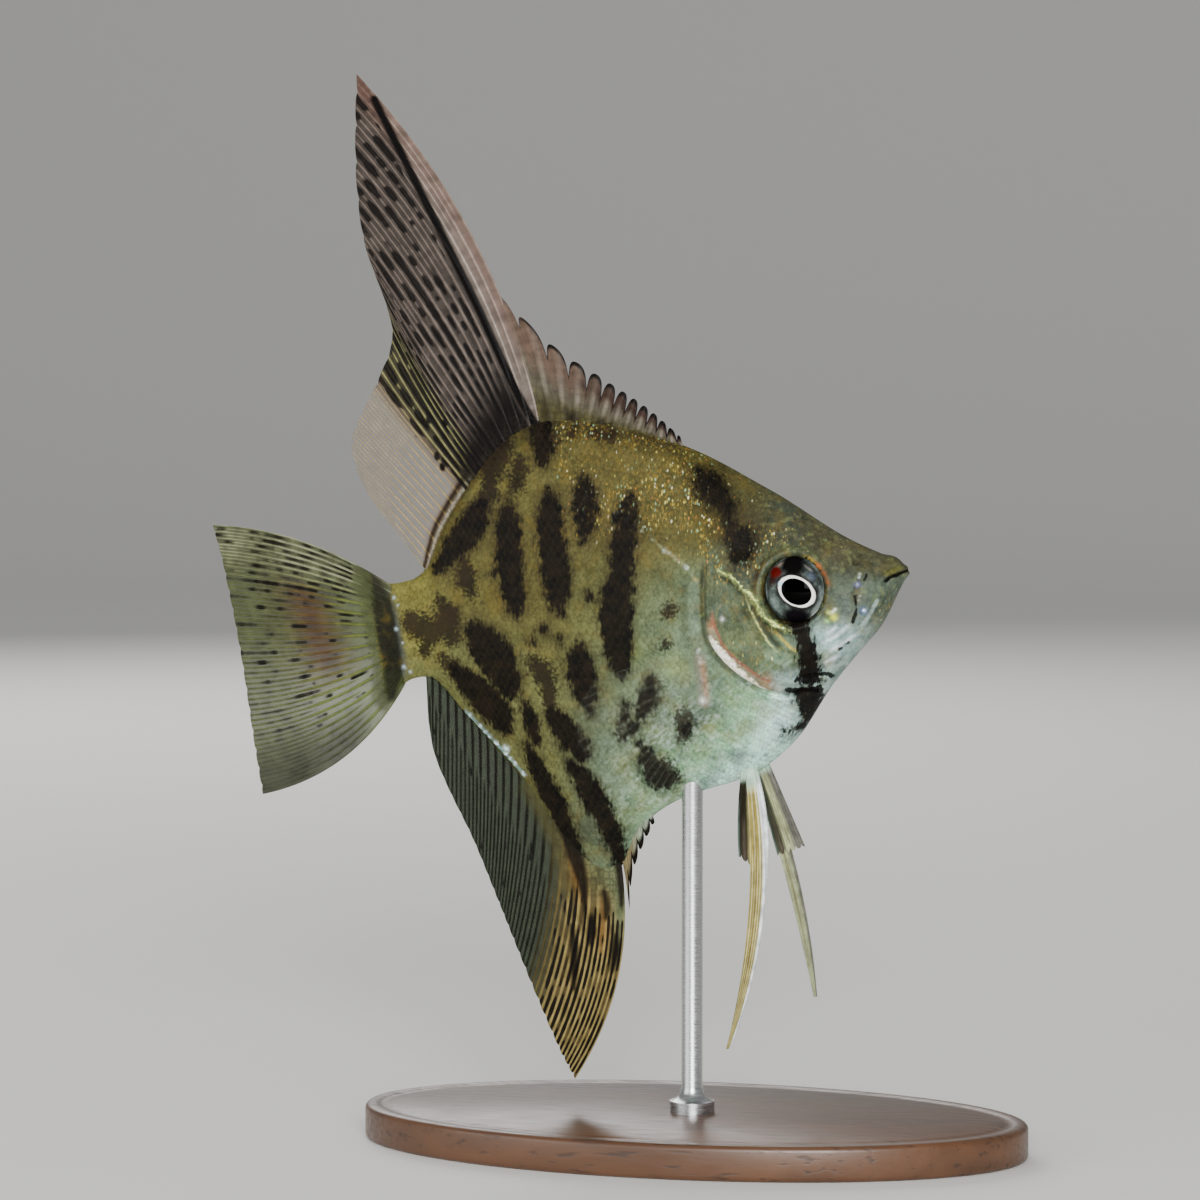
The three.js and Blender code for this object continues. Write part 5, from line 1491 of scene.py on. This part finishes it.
keel, known = fin_sheet(
    "anal_sail", rays=25, per_ray=8, rows=90, base_at=root_line(BELLY, 28.6, 3.6, -2.0, 0.95),
    tip_at=edge_through([
        (0, 17.4, -66), (0.15, 15.6, -61), (0.3, 13.2, -52.5), (0.45, 11.1, -44.5), (0.6, 9.4, -38),
        (0.75, 7.2, -30), (0.88, 4.4, -22.0), (0.95, 3.1, -17.0), (1, 2.9, -12.5),
    ]),
    bow=[(0, -0.2), (0.25, -0.1), (0.6, -0.03), (1, 0)], notch=0.012,
    middle_at=anal_lean, ray_half=0.2, web_half=0.07, splits=[(0.35, 0.5)],
)
x, z, u, part = (known[kept] for kept in ("x", "z", "u", "part"))
known["scaly"] = fade(0.30, 0.12, part) * fade(0.4, 0.25, u)
# The body's marks run on into the fin's tan front.
RUN_ON = [
    [(21.6, -30.0, 1.3), (22.4, -36.2, 0.9), (22.6, -39.5, 0.5), (22.4, -42.0, 0.2)],
    [(28.3, -30.0, 1.4), (28.7, -36.0, 0.9), (28.2, -39.5, 0.5), (27.8, -42.0, 0.2)],
    [(23.2, -43.2, 0.4), (23.0, -45.2, 0.7), (22.6, -46.8, 0.3)],
    [(25.6, -39.6, 0.3), (25.7, -41.6, 0.5), (25.4, -43.4, 0.3)],
    [(26.4, -46.0, 0.3), (26.0, -48.6, 0.6), (25.2, -51.0, 0.3)],
    [(20.2, -44.0, 0.3), (20.0, -48.0, 0.6), (19.2, -53.0, 0.3)],
]
TAN_EDGE = [(16.2, -23.6, 0.2), (18.4, -28.6, 0.4), (20.0, -34.0, 0.5), (20.6, -39.0, 0.3)]
front = fade(0.36, 0.2, u)
paints = two_paints(known, [("262e1f", 0.8), ("0b0c08", 0.97)], [
    (("4a3f26", "8a7a48"), 0.95 * front, 0.96),
    ("56583a", 0.9 * fade(0.30, 0.08, part) * front, 1.0),
    ("626b4c", 0.8 * fade(0.14, 0.02, u) * fade(0.5, 0.2, part), 1.0),
    ("92642c", 0.55 * hump(u - 0.23, 0.045) * fade(0.04, 0.12, part) * fade(0.36, 0.2, part), 1.0),
    ("92642c", 0.4 * hump(u - 0.09, 0.03) * fade(0.1, 0.2, part) * fade(0.5, 0.34, part), 1.0),
    ("4a4a2c", 0.9 * fade(0.08, 0.02, part) * fade(0.3, 0.4, u), 1.0),
    ("454328", 0.7 * fade(1.6, -0.4, mark(TAN_EDGE, x, z)), 0.95),
    *[("0e0a08", 0.95 * fade(0.5, -0.3, mark(points, x, z)), 0.98) for points in RUN_ON],
])
streak = 0.8 * fade(0.34, 0.24, u) * fade(0.12, 0.3, part)
streak += 0.35 * fade(0.3, 0.45, u) * fade(0.02, 0.15, part)
close_sheet(keel, known, *paints, np.minimum(streak, 0.85), "fin", "anal_fin_soft")
wear(keel, tinted_fin("tinted_resin_anal_sail", streak_length=4.0, streak_width=0.9, rib_width=0.5))


# ---------------------------------------------------------------- the tail fin
# A fan of sixteen branching rays from the end of the tail stem, yellow-green on a clear
# web, with a dark band across its root and broken dark speckles further out.
fan, known = fin_sheet(
    "tail_fan", rays=16, per_ray=12, rows=80, base_at=edge_through([(0, 0, 7.4), (1, 0, -6.9)]),
    tip_at=edge_through([
        (0, -27.2, 19.6), (0.2, -26.3, 13.5), (0.5, -25.4, 1.2), (0.8, -25.1, -12.5), (1, -24.8, -20.4),
    ]),
    bow=[(0, 0.14), (1, -0.22)], notch=0.008, middle_at=lambda x, z: tail_swing(x),
    ray_half=0.22, web_half=0.07, splits=[(0.25, 0.4), (0.55, 0.72)],
)
x, z, u, part = (known[kept] for kept in ("x", "z", "u", "part"))
band = mark(TAIL_BAND, x, z)
patch = hump(part - 0.50 + 0.25 * (u - 0.4), 0.17)
web, rib = two_paints(known, [("4a5628", 0.5), ("5c6632", 0.9)], [
    ("454a2e", 0.8 * fade(0.45, 0.8, part)),
    ("45291b", 0.85 * fade(0.12, 0.3, u) * fade(0.75, 0.55, u) * patch, (0.66, None)),
    ("34352a", 0.85 * fade(0.72, 0.95, u) * fade(0.15, 0.45, part), (0.74, None)),
    (("565a40", "83866c"), 0.9 * fade(0.28, 0.1, u), (0.82, 0.95)),
    ("1b1a15", 0.92 * fade(0.8, -0.7, band), 0.96),
    ("454b2c", 0.8 * fade(1.9, 0.6, band) * fade(0, 1, -x - 2.4), 0.8),
])
web[:, 3] += 0.12 * fade(0.5, 0.8, part)
# The speckles lie in four loose bands across the fan.
reach = known["from_root"] + 1.6 * (u - 0.5) ** 2 * 4
bands = sum(strength * hump(reach - out, breadth) for out, breadth, strength in [
    (4.6, 1.3, 1), (9.0, 2.0, 0.8), (15.0, 2.6, 0.9), (21.5, 2.8, 0.8)])
streak = np.clip(0.30 * bands + 0.62, 0, 0.92) * fade(0.6, 1.4, band)
streak *= (1 - 0.35 * fade(0.75, 0.9, u)) * (1 + 0.22 * fade(0.4, 0.2, u))
close_sheet(fan, known, web, rib, streak, "fin", "tail_fin")
wear(fan, tinted_fin(
    "tinted_resin_tail", streak_length=3.0, streak_width=0.85, streak_edge=0.3, rib_width=0.4,
))


# ---------------------------------------------------------------- the pelvic fins
# Each is a short blade of six rays under the breast and the long streamer that grows out
# of it, cream-white in front and smoke-grey behind.
UNDER_BELLY = -1.1    # how far inside the belly's edge the fins are rooted, counted upwards
pale_fin = tinted_fin("tinted_resin_pelvic", streak_length=4.0)
for name, side, blade_root, blade_tip, blade_bow, ribbon_root, ribbon_tip, ribbon_bow, tones in [
    ("right", -1, (50.2, 48.0), [(0, 50.5, -39.9), (1, 46.6, -36.5)], [(0, -0.104), (1, 0.05)],
     50.0, (42.8, -62.6), [(0, -0.165), (1, -0.10)],
     ("e6ecec", "a8a070", "0d0b0a", "b4aa62", "8d8040", "d6cf9c")),
    ("left", 1, (51.6, 49.2), [(0, 54.8, -36.6), (1, 50.6, -37.5)], [(0, 0.0), (1, -0.02)],
     50.8, (52.4, -58.5), [(0, -0.0745), (1, -0.029)],
     ("6c6b62", "a3a67e", "33362c", "b6b890", "a6ab86", "b9bf9e")),
]:
    front, middle, behind, rib_tone, ribbon_web, ribbon_rib = tones

    def splay(x, z, side=side):
        """The fins stand apart further down."""
        return side * (0.25 + 0.2 * np.maximum(-22.0 - z, 0))

    blade, known = fin_sheet(
        f"pelvic_{name}", rays=6, per_ray=12, rows=48, base_at=root_line(BELLY, *blade_root, UNDER_BELLY),
        tip_at=edge_through(blade_tip), bow=blade_bow, notch=0.05, middle_at=splay,
        ray_half=0.3, web_half=0.12, root_half=0.2, splits=[(0.3, 0.5)],
    )
    u, part = known["u"], known["part"]
    paints = two_paints(known, [(middle, 0.92), (rib_tone, 0.98)], [
        (front, fade(0.40, 0.22, u), 0.98),
        (behind, 0.97 * fade(0.55, 0.72, u) * fade(0.02, 0.08, part), 0.96),
        ("5f5449", 0.6 * hump(u - 0.78, 0.06) * fade(0.45, 0.7, part), 0.9),
        ("7f968c", 0.6 * hump(u - 1.0, 0.05) * fade(0.3, 0.5, part), 0.8),
        ("7d7a70", 0.5 * fade(0.75, 1.0, part) * fade(0.5, 0.3, u), 0.85),
        ("a9c4ae", fade(0.16, 0.06, part), 1.0),
    ])
    close_sheet(blade, known, *paints, 0.2 * fade(0.4, 0.8, u), "fin_pale", f"pelvic_fin_{name}")
    wear(blade, pale_fin)

    tip_x, tip_z = ribbon_tip
    ribbon, known = fin_sheet(
        f"pelvic_{name}_streamer", rays=4, per_ray=10, rows=120,
        base_at=root_line(BELLY, ribbon_root, ribbon_root - 1.4, UNDER_BELLY),
        tip_at=edge_through([(0, tip_x + 0.25, tip_z), (1, tip_x - 0.25, tip_z)]), bow=ribbon_bow, notch=0,
        middle_at=lambda x, z: splay(x, z) + side * 0.25,
        ray_half=0.34, web_half=0.18, root_half=0.2, splits=[(0.25, 0.4)],
    )
    u, part = known["u"], known["part"]
    paints = two_paints(known, [(ribbon_web, 0.96), (ribbon_rib, 1.0)], [
        (front, 0.9 * fade(0.26, 0.10, u)),
        ("6a5a28", 0.6 * hump(u - 0.62, 0.1) * fade(0.05, 0.15, part) * fade(0.9, 0.6, part)),
        ("a9c4ae", fade(0.10, 0.04, part), 1.0),
    ])
    close_sheet(ribbon, known, *paints, 0.10 * fade(0.6, 0.9, u), "fin_pale")
    wear(ribbon, pale_fin)


# ---------------------------------------------------------------- the pectoral fins
# Glass-clear fans of eleven fine rays, folded back and down over the flanks.
def breast_tip(u):
    """The rim of the fan, which turns about its root."""
    angle = np.radians(4 + 62 * u)
    reach = along([(0, 15), (0.2, 19.5), (0.5, 20), (0.8, 16.5), (1, 12.5)], u)
    return 46.0 - reach * np.cos(angle), -7.9 - 6.5 * u - reach * np.sin(angle)


glassy = tinted_fin("clear_resin_pectoral", rib_width=0.3, gloss=0.25)
for name, side in [("right", -1), ("left", 1)]:
    def off_flank(x, z, side=side):
        """The fan stands off the flank further back."""
        return side * (5.6 + 0.22 * np.hypot(x - 46.0, np.maximum(np.abs(z + 11.15) - 3.25, 0)))

    pectoral, known = fin_sheet(
        f"pectoral_{name}", rays=11, per_ray=8, rows=50,
        base_at=edge_through([(0, 46.6, -7.9), (1, 46.0, -14.4)]),
        tip_at=breast_tip, bow=[(0, 0.06), (1, -0.03)], notch=0.02, middle_at=off_flank,
        ray_half=0.13, web_half=0.05, root_half=0.3, splits=[(0.45, 0.6)],
    )
    paints = two_paints(known, [("a9b3a0", 0.006), ("8f9a86", 0.035)], [
        ("9c9686", fade(0.08, 0.0, known["part"]), 0.6),
    ])
    close_sheet(pectoral, known, *paints, 0 * known["u"], "fin_clear", f"pectoral_fin_{name}")
    wear(pectoral, glassy)


# ---------------------------------------------------------------- the stand
# An oval plate of oiled walnut with a routed rim, and a slim brushed steel rod on a
# turned foot that holds the fish under its belly.
BASE_LOW, BASE_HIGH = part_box("stand_base")
base_middle = (BASE_LOW + BASE_HIGH) / 2
base_size = BASE_HIGH - BASE_LOW
deselect()
bpy.ops.mesh.primitive_cylinder_add(vertices=160, radius=0.5, depth=1, location=base_middle)
plinth = added("plinth")
plinth.scale = base_size
bpy.ops.object.transform_apply(location=True, rotation=False, scale=True)
bpy.ops.object.mode_set(mode="EDIT")
bpy.ops.mesh.select_mode(type="FACE")
bpy.ops.mesh.select_all(action="DESELECT")
bpy.ops.object.mode_set(mode="OBJECT")
for face in plinth.data.polygons:
    face.select = face.normal.z > 0.9
bpy.ops.object.mode_set(mode="EDIT")
bpy.ops.mesh.inset(thickness=0.0016, depth=0)
bpy.ops.mesh.inset(thickness=0.0012, depth=-0.0004)
bpy.ops.mesh.inset(thickness=0.0010, depth=0.0004)
bpy.ops.object.mode_set(mode="OBJECT")
routed = plinth.modifiers.new("routed", "BEVEL")
routed.width = 0.0008
routed.segments = 4
routed.limit_method = "ANGLE"
routed.angle_limit = math.radians(40)
bpy.ops.object.modifier_apply(modifier="routed")
bpy.ops.object.shade_smooth_by_angle(angle=math.radians(35))

# Oiled walnut: grain lines about 0.7 mm apart along the plate, darker bands, a low sheen.
walnut, tree = finish_of("oiled_walnut")
place = node(tree, "TexCoord").outputs["Object"]
drawn = node(tree, "Mapping", {"Vector": place, "Scale": (0.12, 1.0, 1.0)})
bands = node(tree, "TexNoise", {"Vector": drawn, "Scale": 160.0, "Detail": 4.0, "Distortion": 0.6})
lines = node(tree, "TexNoise", {"Vector": drawn, "Scale": 1400.0, "Detail": 3.0})
pores = node(tree, "MapRange", {0: lines, 1: 0.58, 2: 0.70, 4: 0.6})
wood = node(tree, "Mix", {0: bands, 6: "2a1a10", 7: "6a4529"}, data_type="RGBA")
wood = node(tree, "Mix", {0: pores, 6: wood, 7: "1c110a"}, data_type="RGBA")
gloss = node(tree, "MapRange", {0: lines, 1: 0.3, 2: 0.7, 3: 0.32, 4: 0.5})
bump = node(tree, "Bump", {"Height": pores, "Strength": 0.3, "Distance": 0.0001}, invert=True)
surface = node(tree, "BsdfPrincipled", {
    "Base Color": wood, "Roughness": gloss, "Normal": bump, "IOR": 1.5,
    "Coat Weight": 0.2, "Coat Roughness": 0.25,
})
node(tree, "OutputMaterial", {"Surface": surface})
wear(plinth, walnut)
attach(plinth, "root")
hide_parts("stand_base")

# The rod is turned in one piece: a foot with a rounded shoulder, a waist and the shaft.
ROD_LOW, ROD_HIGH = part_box("stand_rod")
deselect()
bpy.ops.mesh.primitive_cylinder_add(
    vertices=64, radius=0.0032, depth=0.0016, end_fill_type="NGON",
    location=(0, 0, ROD_LOW.z - 0.0003 + 0.0008),
)
post = added("post")
bpy.ops.object.transform_apply(location=True, rotation=False, scale=True)
top = ROD_HIGH.z + 0.0004
for radius, height in [(0.0028, 0.0), (0.0021, 0.0005), (0.0017, 0.0011), (0.0015, 0.002), (0.0015, None)]:
    bpy.ops.object.mode_set(mode="OBJECT")
    highest = max(v.co.z for v in post.data.vertices)
    for v in post.data.vertices:
        v.select = v.co.z > highest - 1e-6
    for e in post.data.edges:
        e.select = all(post.data.vertices[i].select for i in e.vertices)
    for f in post.data.polygons:
        f.select = all(post.data.vertices[i].select for i in f.vertices)
    wide = max(math.hypot(v.co.x, v.co.y) for v in post.data.vertices if v.select)
    level = ROD_LOW.z + 0.0013 + height if height is not None else top
    bpy.ops.object.mode_set(mode="EDIT")
    bpy.ops.mesh.select_mode(type="FACE")
    bpy.ops.mesh.extrude_region_move(TRANSFORM_OT_translate={"value": (0, 0, max(level - highest, 1e-5))})
    bpy.ops.transform.resize(value=(radius / wide, radius / wide, 1), center_override=(0, 0, level))
bpy.ops.object.mode_set(mode="OBJECT")
bpy.ops.object.shade_smooth_by_angle(angle=math.radians(35))

# Brushed stainless steel: fine rings round the rod from the turning.
steel, tree = finish_of("brushed_stainless_steel")
place = node(tree, "TexCoord").outputs["Object"]
rings = node(tree, "Mapping", {"Vector": place, "Scale": (0.1, 0.1, 1.0)})
brushed = node(tree, "TexNoise", {"Vector": rings, "Scale": 6000.0, "Detail": 3.0})
rough = node(tree, "MapRange", {0: brushed, 1: 0.3, 2: 0.7, 3: 0.2, 4: 0.4})
tone = node(tree, "Mix", {0: brushed, 6: "a9abad", 7: "d3d4d5"}, data_type="RGBA")
bump = node(tree, "Bump", {"Height": brushed, "Strength": 0.2, "Distance": 0.00003})
surface = node(tree, "BsdfPrincipled", {
    "Base Color": tone, "Metallic": 1.0, "Roughness": rough, "Normal": bump,
})
node(tree, "OutputMaterial", {"Surface": surface})
wear(post, steel)
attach(post, "root")
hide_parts("stand_rod")
